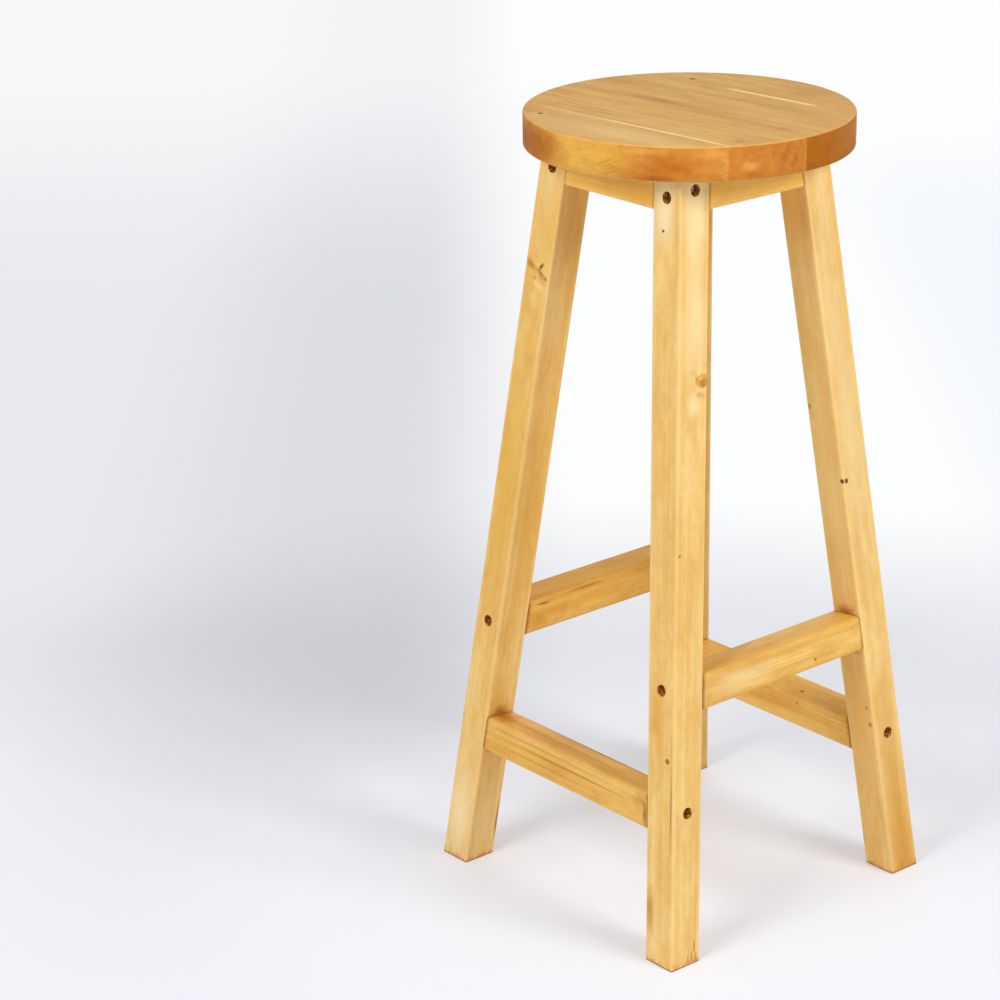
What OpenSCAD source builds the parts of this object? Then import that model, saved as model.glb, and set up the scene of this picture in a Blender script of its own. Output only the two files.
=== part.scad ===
// Bar stool: a round seat glued up from four boards, four square legs that splay
// both ways, an apron frame under the seat, and footrest stretchers at two heights.
// Millimetres, +Z up. The origin is on the floor, midway between the four feet.
// -Y is the front and +X is the right.

/* [Seat] */
// Diameter of the round seat
seat_d = 300; // [280:5:360]
// Height of the seat's top above the floor
seat_h = 750; // [600:5:850]
// Thickness of the seat boards
seat_t = 32; // [26:1:45]
// Bevel that eases the seat's top and bottom rims
seat_ease = 1.5; // [0.5:0.5:4]
// Width of the board in front of the middle glue line
front_board_w = 72; // [50:1:90]
// Width of the board behind the middle glue line
back_board_w = 95; // [60:1:100]
// Distance of the middle glue line behind the seat's centre
middle_seam = -13; // [-20:1:20]
// Turn of the seat's boards against the frame, in degrees
seat_turn = 4; // [0:1:8]
// Distance of the seat's centre to the right of the frame's centre
seat_shift_x = 2; // [-4:0.5:4]
// Distance of the seat's centre behind the frame's centre
seat_shift_y = 3; // [-4:0.5:4]

/* [Legs] */
// Thickness of a leg, measured level
leg_w = 35; // [30:1:45]
// Width over the legs where they meet the seat
top_span = 182; // [170:1:200]
// Width over the legs at the floor
foot_span = 329; // [280:1:400]
// Bevel that eases the long edges of a leg
leg_ease = 2; // [1:0.5:4]

/* [Aprons and stretchers] */
// Height of an apron under the seat
apron_h = 34; // [30:1:50]
// Height of a stretcher
stretcher_h = 34; // [28:1:50]
// Height of the middle of the front and back stretchers
cross_z = 140; // [90:1:180]
// Height of the middle of the left and right stretchers
side_z = 252.5; // [230:0.5:320]
// Distance that the rails' faces lie inside the legs' faces
rail_inset = 0.5; // [0:0.5:3]
// Bevel that eases the long edges of aprons and stretchers
rail_ease = 1.5; // [0.5:0.5:3]

/* [Screws] */
// Diameter of every screw
screw_d = 5; // [4:0.5:5.5]
// Length of a leg screw under its head
leg_screw_l = 70; // [50:1:75]
// Length of a seat screw under its head
seat_screw_l = 40; // [30:1:45]
// Length of the seat screws that goes into the seat
seat_bite = 20; // [12:1:22]
// Diameter of the screw heads
head_d = 9; // [7:0.5:10]
// Thickness of the screw heads
head_h = 3; // [2:0.5:4]
// Diameter of the counterbores
counterbore_d = 11; // [10.5:0.5:13]
// Depth of the counterbores in the legs
counterbore_depth = 9; // [5:1:14]
// Room around a screw in its hole
hole_room = 0.1; // [0.05:0.05:0.2]
// Distance from the seat down to the apron screws in the front and back faces
front_drop = 20.5; // [20:0.5:24]
// Distance from the seat down to the apron screws in the side faces
side_drop = 14; // [11:0.5:14.5]
// Height of the screws above the middle of the left stretcher
left_rise = 0; // [-4:0.5:6]
// Height of the screws above the middle of the right stretcher
right_rise = 6; // [-4:0.5:6]
// Height of the screws above the middles of the front and back stretchers
cross_rise = 5; // [-4:0.5:6]

/* [Hidden] */
$fn = 72;

seat_wood = "#D8A45C";
leg_wood = "#EBC684";
rail_wood = "#E3B265";
steel = "#8C8880";

// The legs stop at the seat's underside and lean in by the same run on both axes
leg_h = seat_h - seat_t;
lean_run = (foot_span - top_span) / 2;
lean = atan(lean_run / leg_h);
// Rails are as deep as the legs, less the inset on both faces
rail_d = leg_w * cos(lean) - 2 * rail_inset;
// Seams of the seat, from front to back, with the rim as the outer two
seams = [-seat_d, middle_seam - front_board_w, middle_seam, middle_seam + back_board_w, seat_d];
// Length that reaches past the whole stool
reach = foot_span + seat_d;
// Turns that take what is drawn for the back side to each side, in degrees
back_turn = 0;
left_turn = 90;
front_turn = 180;
right_turn = 270;
// Height of an apron before the seat's underside cuts it off, past apron_h
apron_spare = 18;
// Screw details: point, bevel of the head, and the cross recess
point_l = 7;
head_bevel = 0.8;
recess_w = 1.3;
recess_l = 5;
recess_depth = 1.6;
// Room left past the point of a screw in its hole
point_room = 1;

// Distance from the centre to the outer faces, and to the middle, of the legs at height z
function outer(z) = foot_span / 2 - lean_run * z / leg_h;
function middle(z) = outer(z) - leg_w / 2;
function inner(z) = outer(z) - leg_w;

// The four screws of a leg, as [the axis that the screw lies along, its height]
function leg_screws_at(i) = [
    ["y", leg_h - front_drop],
    ["x", leg_h - side_drop],
    ["y", side_z + (i < 0 ? left_rise : right_rise)],
    ["x", cross_z + cross_rise]
];

// Mirrors its children along one axis where flip is true
module flip_if(flip, axis) {
    if (flip) mirror(axis) children();
    else children();
}

// Takes what is drawn for the back right quarter to the quarter with signs i and j
module quarter(i, j) {
    flip_if(i < 0, [1, 0, 0]) flip_if(j < 0, [0, 1, 0]) children();
}

// Takes what is drawn for the back side to the side at this turn
module side(turn) {
    rotate([0, 0, turn]) children();
}

// Upright slab of width w whose middle goes from foot_c at the floor to top_c at the seat,
// measured along a level direction turned from X
module leaning_slab(turn, foot_c, top_c, w) {
    rotate([90, 0, turn])
        translate([0, 0, -reach])
            linear_extrude(2 * reach)
                polygon([
                    [foot_c - w / 2, 0], [foot_c + w / 2, 0],
                    [top_c + w / 2, leg_h], [top_c - w / 2, leg_h]
                ]);
}

// Square with its four corners cut off by c
module eased_square(w, h, c) {
    polygon([
        [-w / 2 + c, -h / 2], [w / 2 - c, -h / 2], [w / 2, -h / 2 + c], [w / 2, h / 2 - c],
        [w / 2 - c, h / 2], [-w / 2 + c, h / 2], [-w / 2, h / 2 - c], [-w / 2, -h / 2 + c]
    ]);
}

// Leg of the back right quarter, before drilling: two slabs give its faces, and two
// diagonal ones ease its long edges
module leg_blank() {
    diagonal_w = sqrt(2) * (leg_w - leg_ease);
    intersection() {
        leaning_slab(0, middle(0), middle(leg_h), leg_w);
        leaning_slab(90, middle(0), middle(leg_h), leg_w);
        leaning_slab(45, sqrt(2) * middle(0), sqrt(2) * middle(leg_h), diagonal_w);
        leaning_slab(135, 0, 0, diagonal_w);
    }
}

// Rail of the back side, before drilling. Its faces lean with the legs, its ends lie
// against the legs, and the seat's underside cuts it off. z is the middle of its outer face
module rail_blank(z, h) {
    intersection() {
        translate([0, outer(z), z])
            rotate([lean, 0, 0])
                translate([0, -rail_inset - rail_d / 2, 0])
                    rotate([90, 0, 90])
                        translate([0, 0, -reach])
                            linear_extrude(2 * reach) eased_square(rail_d, h, rail_ease);
        leaning_gap();
    }
}

// Space between the left and right legs, from the floor to the seat
module leaning_gap() {
    rotate([90, 0, 0])
        translate([0, 0, -reach])
            linear_extrude(2 * reach)
                polygon([
                    [-inner(0), 0], [inner(0), 0],
                    [inner(leg_h), leg_h], [-inner(leg_h), leg_h]
                ]);
}

// Screw with its axis on Z, the underside of its head at 0 and its point below
module screw(l) {
    r = screw_d / 2;
    color(steel)
    difference() {
        rotate_extrude()
            polygon([
                [0, -l], [r, -l + point_l], [r, 0], [head_d / 2, 0],
                [head_d / 2, head_h - head_bevel], [head_d / 2 - head_bevel, head_h],
                [0, head_h]
            ]);
        for (turn = [45, 135])
            rotate([0, 0, turn])
                translate([-recess_l / 2, -recess_w / 2, head_h - recess_depth])
                    cube([recess_l, recess_w, recess_depth + 1]);
    }
}

// Hole for a screw of length l, with a counterbore that is open for a depth of open_l
module screw_hole(l, open_l) {
    translate([0, 0, -l - point_room])
        cylinder(h = l + point_room + 1, r = screw_d / 2 + hole_room);
    cylinder(h = open_l, r = counterbore_d / 2);
}

// Puts a screw or its hole at its place in the leg of the back right quarter
module at_leg_screw(place) {
    z = place[1];
    flip_if(place[0] == "x", [1, -1, 0])
        translate([middle(z), outer(z) - counterbore_depth, z])
            rotate([-90, 0, 0]) children();
}

module leg_holes(i, j) {
    quarter(i, j)
        for (place = leg_screws_at(i))
            at_leg_screw(place) screw_hole(leg_screw_l, counterbore_depth + leg_w / 2);
}

// Puts a screw or its hole at the middle of the apron of one side, pointing up
module at_seat_screw(turn) {
    side(turn)
        translate([0, middle(leg_h - apron_h / 2), leg_h + seat_bite - seat_screw_l])
            rotate([180, 0, 0]) children();
}

module seat_holes() {
    for (turn = [back_turn, left_turn, front_turn, right_turn])
        at_seat_screw(turn) screw_hole(seat_screw_l, apron_h);
}

// Seat disc with eased rims
module seat_disc() {
    r = seat_d / 2;
    rotate_extrude($fn = 180)
        polygon([
            [0, 0], [r - seat_ease, 0], [r, seat_ease], [r, seat_t - seat_ease],
            [r - seat_ease, seat_t], [0, seat_t]
        ]);
}

// Board n of the seat, counted from the front
module seat_board(n) {
    color(seat_wood)
    difference() {
        translate([seat_shift_x, seat_shift_y, leg_h])
            rotate([0, 0, seat_turn])
                intersection() {
                    seat_disc();
                    translate([-seat_d, seams[n], -1])
                        cube([2 * seat_d, seams[n + 1] - seams[n], seat_t + 2]);
                }
        seat_holes();
    }
}

module leg(i, j) {
    color(leg_wood)
    difference() {
        quarter(i, j) leg_blank();
        leg_holes(i, j);
    }
}

// Rail of one side, drilled for the screws of the two legs at its ends
module drilled_rail(turn, z, h) {
    difference() {
        side(turn) rail_blank(z, h);
        for (end = [-1, 1]) {
            i = (turn == left_turn) ? -1 : (turn == right_turn) ? 1 : end;
            j = (turn == front_turn) ? -1 : (turn == back_turn) ? 1 : end;
            leg_holes(i, j);
        }
    }
}

module apron(turn) {
    blank_h = apron_h + apron_spare;
    z = leg_h - apron_h + blank_h / 2 * cos(lean);
    color(leg_wood)
    difference() {
        drilled_rail(turn, z, blank_h);
        seat_holes();
    }
}

module stretcher(turn) {
    z = (turn == left_turn || turn == right_turn) ? side_z : cross_z;
    color(rail_wood) drilled_rail(turn, z, stretcher_h);
}

module leg_screws(i, j) {
    quarter(i, j)
        for (place = leg_screws_at(i))
            at_leg_screw(place) screw(leg_screw_l);
}

module seat_screws() {
    for (turn = [back_turn, left_turn, front_turn, right_turn])
        at_seat_screw(turn) screw(seat_screw_l);
}

seat_board(0);  // seat_board_front
seat_board(1);  // seat_board_front_middle
seat_board(2);  // seat_board_back_middle
seat_board(3);  // seat_board_back
leg(-1, -1);  // leg_front_left
leg(1, -1);  // leg_front_right
leg(-1, 1);  // leg_back_left
leg(1, 1);  // leg_back_right
apron(front_turn);  // apron_front
apron(back_turn);  // apron_back
apron(left_turn);  // apron_left
apron(right_turn);  // apron_right
stretcher(front_turn);  // stretcher_front
stretcher(back_turn);  // stretcher_back
stretcher(left_turn);  // stretcher_left
stretcher(right_turn);  // stretcher_right
leg_screws(-1, -1);  // leg_screws_front_left
leg_screws(1, -1);  // leg_screws_front_right
leg_screws(-1, 1);  // leg_screws_back_left
leg_screws(1, 1);  // leg_screws_back_right
seat_screws();
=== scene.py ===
"""Bar stool with a footrest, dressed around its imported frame.

A round seat of four glued boards stands on four square legs that splay both ways. An apron frame
ties the legs under the seat, stretchers at two heights make the footrest, and counterbored screws
hold every joint. Metres, +Z up. -Y is the front and +X is the right.
"""

from __future__ import annotations

import logging
import math
from dataclasses import dataclass, replace
from enum import Enum
from functools import reduce
from typing import Any, Iterable, Sequence

import bmesh
import bpy
from bpy.types import Material, Mesh, Node, NodeSocket, NodeTree, Object
from mathutils import Euler, Matrix, Vector


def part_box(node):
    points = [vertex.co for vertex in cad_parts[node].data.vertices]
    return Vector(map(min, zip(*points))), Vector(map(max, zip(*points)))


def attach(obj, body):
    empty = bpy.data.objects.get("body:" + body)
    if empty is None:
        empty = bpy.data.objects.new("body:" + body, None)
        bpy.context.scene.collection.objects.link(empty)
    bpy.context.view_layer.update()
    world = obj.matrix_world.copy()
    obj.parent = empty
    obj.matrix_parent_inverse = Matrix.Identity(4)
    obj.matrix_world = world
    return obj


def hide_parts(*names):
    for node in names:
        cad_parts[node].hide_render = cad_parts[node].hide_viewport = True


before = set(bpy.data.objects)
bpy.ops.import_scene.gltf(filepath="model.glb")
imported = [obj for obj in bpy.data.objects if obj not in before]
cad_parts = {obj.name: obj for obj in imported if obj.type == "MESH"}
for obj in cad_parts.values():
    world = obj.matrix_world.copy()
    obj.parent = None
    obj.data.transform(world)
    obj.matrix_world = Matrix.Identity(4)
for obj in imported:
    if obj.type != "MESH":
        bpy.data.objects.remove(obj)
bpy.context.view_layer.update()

MM = 0.001
BODY = "root"
AIM = "aim"
BORED = "bored"
SCREW_SLOT = "screw_steel"
CORNERS = tuple(f"Corner {n}" for n in range(1, 5))
FACING = (0.3, 0.95)
DRILL_OVER = 1 * MM
POINT_ROOM = 1 * MM

Source = Node | NodeSocket
Pair = tuple[float, float]
Triple = tuple[float, float, float]
Span = tuple[float, ...]

log = logging.getLogger("bar_stool")


# ---- small helpers


def srgb(code: str) -> Span:
    """Turns a colour written as #RRGGBB into the linear colour that shaders take.

    Args:
        code: The colour as a maker's chart gives it.

    Returns:
        Linear red, green and blue, and an alpha of 1.
    """
    parts = [int(code[i : i + 2], 16) / 255 for i in (1, 3, 5)]
    linear = [p / 12.92 if p <= 0.04045 else ((p + 0.055) / 1.055) ** 2.4 for p in parts]
    return (*linear, 1)


def mm(*values: float) -> Vector:
    """Turns lengths in millimetres into a vector in metres."""
    return Vector(values) * MM


class Graph:
    """Writes nodes into one node tree, and links or sets their inputs as it goes."""

    def __init__(self, tree: NodeTree) -> None:
        """Starts writing in the tree."""
        self.tree = tree

    @classmethod
    def on(cls, owner: Any) -> Graph:
        """Empties the node tree of its owner, and starts writing there.

        Args:
            owner: A material or a world.

        Returns:
            The graph.
        """
        owner.use_nodes = True
        owner.node_tree.nodes.clear()
        return cls(owner.node_tree)

    def feed(self, socket: NodeSocket, value: Any) -> None:
        """Links a source to an input, or sets the input's own value.

        Args:
            socket: The input.
            value: A socket, a node whose first output is wanted, or a plain value.
        """
        if isinstance(value, Node):
            value = value.outputs[0]
        if isinstance(value, NodeSocket):
            self.tree.links.new(value, socket)
        else:
            socket.default_value = value

    def node(self, kind: str, inputs: dict[Any, Any] | None = None, **settings: Any) -> Node:
        """Adds a node.

        Args:
            kind: The node's type.
            inputs: Sources or values, by the input's name or by its place in the node.
            **settings: The node's own settings, which are set first.

        Returns:
            The new node.
        """
        made = self.tree.nodes.new(kind)
        for name, value in settings.items():
            setattr(made, name, value)
        for key, value in (inputs or {}).items():
            if isinstance(key, int):
                socket = made.inputs[key]
            else:
                socket = next(s for s in made.inputs if s.enabled and s.name == key)
            self.feed(socket, value)
        return made

    def group(self, tree: NodeTree, **inputs: Any) -> Node:
        """Places a node group, whose inputs are named with _ where their names have spaces."""
        named = {name.replace("_", " "): value for name, value in inputs.items()}
        return self.node(tree.bl_idname.replace("Tree", "Group"), named, node_tree=tree)

    def math(self, operation: str, *values: Any, clamp: bool = False) -> Source:
        """Adds a Math node and returns its value."""
        inputs = dict(enumerate(values))
        return self.node("ShaderNodeMath", inputs, operation=operation, use_clamp=clamp)

    def vector(self, operation: str, *values: Any) -> Source:
        """Adds a Vector Math node and returns its vector, or the number of a length or dot."""
        made = self.node("ShaderNodeVectorMath", dict(enumerate(values)), operation=operation)
        return made.outputs["Value" if operation in ("LENGTH", "DOT_PRODUCT") else "Vector"]

    def times(self, *values: Any) -> Source:
        """Multiplies numbers."""
        return reduce(lambda a, b: self.math("MULTIPLY", a, b), values)

    def less(self, value: Any, taken: Any, clamp: bool = False) -> Source:
        """Takes one number from another."""
        return self.math("SUBTRACT", value, taken, clamp=clamp)

    def line(self, value: Any, slope: Any, start: Any, clamp: bool = False) -> Source:
        """Multiplies a number by a slope and adds it to a start."""
        return self.math("MULTIPLY_ADD", value, slope, start, clamp=clamp)

    def xyz(self, x: Any = 0, y: Any = 0, z: Any = 0) -> Source:
        """Puts three numbers together into a vector."""
        return self.node("ShaderNodeCombineXYZ", {"X": x, "Y": y, "Z": z})

    def split(self, vector: Any) -> Any:
        """Takes a vector apart into its X, Y and Z."""
        return self.node("ShaderNodeSeparateXYZ", {0: vector}).outputs

    def position(self) -> Any:
        """Gives X, Y and Z of a mesh's points or a curve's, inside a geometry tree."""
        return self.split(self.node("GeometryNodeInputPosition"))

    def moved(self, mesh: Any, **move: Any) -> Source:
        """Moves or turns a mesh inside a geometry tree."""
        return self.node("GeometryNodeTransform", {"Geometry": mesh, **move})

    def scaled(self, value: Any, factor: Any) -> Source:
        """Multiplies a vector or a colour by one number."""
        inputs = {0: value, "Scale": factor}
        return self.node("ShaderNodeVectorMath", inputs, operation="SCALE")

    def fade(self, value: Any, low: Any, high: Any, bottom: float = 0, top: float = 1) -> Source:
        """Moves smoothly from bottom to top as the value goes from low to high.

        Args:
            value: What is followed.
            low: Where the fade starts.
            high: Where the fade ends.
            bottom: The result at the start.
            top: The result at the end.

        Returns:
            The faded value.
        """
        span = {"Value": value, "From Min": low, "From Max": high, "To Min": bottom, "To Max": top}
        return self.node("ShaderNodeMapRange", span, interpolation_type="SMOOTHSTEP")

    def mix(self, factor: Any, a: Any, b: Any) -> Source:
        """Mixes two colours.

        Args:
            factor: How much of the second colour there is.
            a: The first colour.
            b: The second colour.

        Returns:
            The mixed colour.
        """
        made = self.node("ShaderNodeMix", {"Factor": factor, "A": a, "B": b}, data_type="RGBA")
        return next(s for s in made.outputs if s.enabled)

    def noise(
        self,
        point: Any,
        scale: float,
        detail: float = 2,
        roughness: float = 0.5,
        output: str = "Fac",
    ) -> Source:
        """Adds a 3D noise.

        Args:
            point: Where it is read, already stretched along the grain where that is wanted.
            scale: How fine it is.
            detail: How many finer layers it has.
            roughness: How strong those are.
            output: Which of the noise's outputs is wanted.

        Returns:
            The noise, about 0.5.
        """
        inputs = {"Vector": point, "Scale": scale, "Detail": detail, "Roughness": roughness}
        return self.node("ShaderNodeTexNoise", inputs).outputs[output]


class GroupDraft(Graph):
    """A node group with named inputs and outputs, while it is being written."""

    SOCKETS = {
        "float": "NodeSocketFloat",
        "int": "NodeSocketInt",
        "vector": "NodeSocketVector",
        "rotation": "NodeSocketRotation",
        "mesh": "NodeSocketGeometry",
        "object": "NodeSocketObject",
        "material": "NodeSocketMaterial",
    }

    def __init__(self, name: str, kind: str = "ShaderNodeTree") -> None:
        """Starts an empty group.

        Args:
            name: The group's name.
            kind: Its kind of node tree.
        """
        super().__init__(bpy.data.node_groups.new(name, kind))
        self.entry = self.tree.nodes.new("NodeGroupInput")
        self.exit = self.tree.nodes.new("NodeGroupOutput")

    def takes(self, kind: str, *names: str) -> list[Source]:
        """Adds inputs of one kind.

        Args:
            kind: Their kind.
            *names: Their names.

        Returns:
            What they bring in.
        """
        socket = self.SOCKETS[kind]
        for name in names:
            self.tree.interface.new_socket(name=name, in_out="INPUT", socket_type=socket)
        return [self.entry.outputs[name] for name in names]

    def gives(self, name: str, value: Any, kind: str = "float") -> None:
        """Adds an output that hands out the value."""
        self.tree.interface.new_socket(name=name, in_out="OUTPUT", socket_type=self.SOCKETS[kind])
        self.feed(self.exit.inputs[name], value)


def stretched(g: Graph, point: Any, stretch: float, scale: float, detail: float) -> Source:
    """Gives a noise that is drawn out along the grain.

    Args:
        g: The graph that is being written.
        point: Where it is read, with the grain on Z.
        stretch: How fast it changes along the grain, next to across it.
        scale: How fine it is across the grain.
        detail: How many finer layers it has.

    Returns:
        The noise, about 0.5.
    """
    return g.noise(g.vector("MULTIPLY", point, (1, 1, stretch)), scale, detail, 0.6)


# ---- shared surface effects


class Effects:
    """The shader node groups that more than one material uses, each built once."""

    def __init__(self) -> None:
        """Builds every group."""
        self.figure = self._figure()
        self.knot = self._knot()
        self.stain = self._stain()
        self.seam = self._seam()
        self.arris = self._arris()
        self.foot = self._foot()
        self.speckle = self._speckle()

    @staticmethod
    def _figure() -> NodeTree:
        """Builds the figure of sawn wood round a pith that runs along the piece's own Z.

        Returns:
            A group that gives the late wood of the rings, and bands, streaks, fibres, pores and
            clouds along the grain.
        """
        g = GroupDraft("sawn_figure")
        point, pith, seed = g.takes("vector", "Point", "Pith", "Seed")
        pitch, wander, push = g.takes("float", "Ring Pitch", "Wander", "Push")
        shifted = g.vector("ADD", point, seed)
        slow = g.noise(g.vector("MULTIPLY", shifted, (1, 1, 0.16)), 16, 1.5, output="Color")
        drift = g.vector("SUBTRACT", slow, (0.5, 0.5, 0.5))
        bent = g.vector("ADD", g.vector("SUBTRACT", point, pith), g.scaled(drift, wander))
        across = g.vector("MULTIPLY", bent, (1, 1, 0))
        radius = g.math("ADD", g.vector("LENGTH", across), push)
        turns = g.math("DIVIDE", radius, pitch)
        uneven = {"W": turns, "Scale": 0.55, "Detail": 1}
        spread = g.node("ShaderNodeTexNoise", uneven, noise_dimensions="1D").outputs["Fac"]
        phase = g.math("FRACT", g.line(spread, 2.2, turns))
        rise = g.fade(phase, 0.15, 0.8)
        fall = g.fade(phase, 0.84, 1, 1, 0)
        presence = g.fade(g.noise(g.vector("MULTIPLY", shifted, (1, 1, 0.2)), 34), 0.38, 0.64)
        along = g.vector("ADD", bent, seed)
        band = stretched(g, along, 0.03, 85, 1)
        streak = stretched(g, along, 0.014, 360, 2)
        fibre = stretched(g, along, 0.02, 1500, 2)
        pore = stretched(g, along, 0.05, 2600, 1)
        cloud = stretched(g, shifted, 0.3, 38, 3)
        mottle = stretched(g, shifted, 0.5, 150, 3)
        g.gives("Rings", g.times(rise, fall, presence))
        g.gives("Band", g.fade(band, 0.36, 0.64))
        g.gives("Streak", streak)
        g.gives("Fibre", fibre)
        g.gives("Pore", g.fade(pore, 0.64, 0.74))
        g.gives("Cloud", g.fade(cloud, 0.38, 0.64))
        g.gives("Mottle", mottle)
        return g.tree

    @staticmethod
    def _knot() -> NodeTree:
        """Builds a knot: a heart, and darker grain that bends past it.

        Returns:
            A group that gives the masks of the heart, the bend and the halo.
        """
        g = GroupDraft("knot")
        point, centre, size, seed = g.takes("vector", "Point", "Centre", "Size", "Seed")
        from_centre = g.vector("DIVIDE", g.vector("SUBTRACT", point, centre), size)
        shifted = g.vector("ADD", from_centre, seed)
        wobble = g.less(g.noise(shifted, 1.1, 3, 0.6), 0.5)
        length = g.vector("LENGTH", from_centre)
        reach = g.math("ADD", length, wobble)
        along = g.math("ABSOLUTE", g.split(from_centre)["Z"])
        share = g.math("DIVIDE", along, g.math("MAXIMUM", length, 0.001))
        bend = g.fade(g.math("ABSOLUTE", g.less(reach, 2)), 0.1, 0.55, 1, 0)
        patchy = g.fade(g.noise(shifted, 0.7), 0.4, 0.6)
        g.gives("Heart", g.fade(reach, 0.7, 1.1, 1, 0))
        g.gives("Bend", g.times(bend, share, patchy))
        g.gives("Halo", g.fade(reach, 0.8, 3.4, 1, 0))
        return g.tree

    @staticmethod
    def _stain() -> NodeTree:
        """Builds a turned ellipse with soft, uneven borders, for blotches, cracks, dirt and patches
        of painted light and shade.

        Returns:
            A group that gives the stain's mask.
        """
        g = GroupDraft("stain")
        point, centre, size, turn = g.takes("vector", "Point", "Centre", "Size", "Turn")
        softness, ragged = g.takes("float", "Softness", "Ragged")
        ellipse = {"Vector": point, "Location": centre, "Rotation": turn, "Scale": size}
        inside = g.node("ShaderNodeMapping", ellipse, vector_type="TEXTURE")
        wobble = g.times(g.less(g.noise(inside, 2.3, 3, 0.65), 0.5), ragged)
        reach = g.math("ADD", g.vector("LENGTH", inside), wobble)
        g.gives("Mask", g.fade(reach, g.less(1, softness), 1, 1, 0))
        return g.tree

    @staticmethod
    def _seam() -> NodeTree:
        """Builds a line along the grain at one place across the width, as a glue joint shows.

        Returns:
            A group that gives the line's mask.
        """
        g = GroupDraft("glue_seam")
        [point] = g.takes("vector", "Point")
        offset, width, blur = g.takes("float", "Offset", "Width", "Blur")
        start, stop = g.takes("float", "Start", "Stop")
        parts = g.split(point)
        rough = g.noise(g.vector("MULTIPLY", point, (1, 1, 0.25)), 260)
        away = g.math("ABSOLUTE", g.less(parts["X"], offset))
        share = g.math("DIVIDE", away, g.times(width, g.line(rough, 0.9, 0.55)))
        line = g.fade(share, 0.35, 1, 1, 0)
        begin = g.math("DIVIDE", g.less(parts["Z"], start), blur, clamp=True)
        end = g.math("DIVIDE", g.less(stop, parts["Z"]), blur, clamp=True)
        g.gives("Mask", g.times(line, begin, end))
        return g.tree

    @staticmethod
    def _arris() -> NodeTree:
        """Builds the band along a bar's four long edges, a painted highlight on their rounding.

        Returns:
            A group that gives the band's mask.
        """
        g = GroupDraft("arris_wear")
        [point] = g.takes("vector", "Point")
        half_width, half_depth, reach = g.takes("float", "Half Width", "Half Depth", "Reach")
        parts = g.split(point)
        in_x = g.less(half_width, g.math("ABSOLUTE", parts["X"]))
        in_y = g.less(half_depth, g.math("ABSOLUTE", parts["Y"]))
        depth = g.math("DIVIDE", g.math("MAXIMUM", in_x, in_y), reach)
        rough = g.noise(g.vector("MULTIPLY", point, (1, 1, 0.3)), 120, 3, 0.6)
        uneven = g.math("ADD", depth, g.line(rough, 1.6, -0.8))
        g.gives("Worn", g.fade(uneven, 0.3, 1.1, 1, 0))
        return g.tree

    @staticmethod
    def _foot() -> NodeTree:
        """Builds the foot of a leg: finish drawn up its open pores, and dirt with painted contact
        shadow at its very edge.

        Returns:
            A group that gives the masks of the soaked grain and of the dirt with painted contact
            shadow.
        """
        g = GroupDraft("foot_soak")
        point, seed = g.takes("vector", "Point", "Seed")
        height, reach = g.takes("float", "Height", "Reach")
        shifted = g.vector("ADD", point, seed)
        wick = stretched(g, shifted, 0.1, 420, 2)
        patch = stretched(g, shifted, 1, 60, 2)
        drawn = g.times(g.fade(wick, 0.3, 0.7), g.fade(patch, 0.34, 0.6))
        limit = g.times(reach, g.line(drawn, 1.4, 0.15))
        soak = g.less(1, g.math("DIVIDE", height, limit), clamp=True)
        # The dark band along the very bottom edge is dirt together with painted contact shadow.
        rough = stretched(g, shifted, 1, 500, 2)
        edge = g.math("MAXIMUM", g.times(g.line(rough, 3, -0.2), 1.1 * MM), 0.2 * MM)
        dirt = g.less(1, g.math("DIVIDE", height, edge), clamp=True)
        g.gives("Soaked", g.math("POWER", soak, 0.7))
        g.gives("Dirt", g.math("POWER", dirt, 0.5))
        return g.tree

    @staticmethod
    def _speckle() -> NodeTree:
        """Builds fine specks and short scratches, for metal and bare wood.

        Returns:
            A group that gives the specks' mask and a fine roughness.
        """
        g = GroupDraft("speckle")
        [point] = g.takes("vector", "Point")
        scale, amount = g.takes("float", "Scale", "Amount")
        sized = g.scaled(point, scale)
        limit = g.less(0.75, g.times(amount, 0.3))
        above = g.less(g.noise(sized, 1, 3, 0.7), limit)
        g.gives("Specks", g.math("MULTIPLY", above, 8, clamp=True))
        g.gives("Grit", g.noise(sized, 6, 2, 0.6))
        return g.tree


# ---- marks and finishes


@dataclass(frozen=True)
class Axes:
    """A piece's own axes: width on X, thickness on Y and the grain on Z."""

    origin: Vector
    width: Vector
    thickness: Vector

    def matrix(self) -> Matrix:
        """Gives the turn from the piece's axes to the stool's."""
        grain = self.width.cross(self.thickness).normalized()
        return Matrix((self.width.normalized(), self.thickness.normalized(), grain)).transposed()


@dataclass(frozen=True)
class Knot:
    """A knot or pin, placed in the piece's own axes in millimetres."""

    centre: Triple
    size: Triple
    heart: float
    halo: float
    push: float
    colour: str
    glow: str = "#C98A3C"


@dataclass(frozen=True)
class Stain:
    """A blotch, crack, streak or patch of painted light or shade, placed in the piece's own axes in
    millimetres and degrees.
    """

    centre: Triple
    size: Triple
    colour: str
    strength: float = 0.5
    softness: float = 1.0
    ragged: float = 0.5
    turn: Triple = (0, 0, 0)

    def inputs(self) -> dict[str, Any]:
        """Gives what its node group takes.

        Returns:
            The values, in metres and radians.
        """
        return {
            "Centre": mm(*self.centre),
            "Size": mm(*self.size),
            "Turn": [math.radians(a) for a in self.turn],
            "Softness": self.softness,
            "Ragged": self.ragged,
        }


@dataclass(frozen=True)
class Seam:
    """A line along the grain, placed in the piece's own axes in millimetres."""

    offset: float
    width: float
    start: float
    stop: float
    colour: str
    strength: float = 0.7
    blur: float = 25.0

    def inputs(self) -> dict[str, Any]:
        """Gives what its node group takes.

        Returns:
            The values, in metres.
        """
        return {
            "Offset": self.offset * MM,
            "Width": self.width * MM,
            "Start": self.start * MM,
            "Stop": self.stop * MM,
            "Blur": self.blur * MM,
        }


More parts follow.
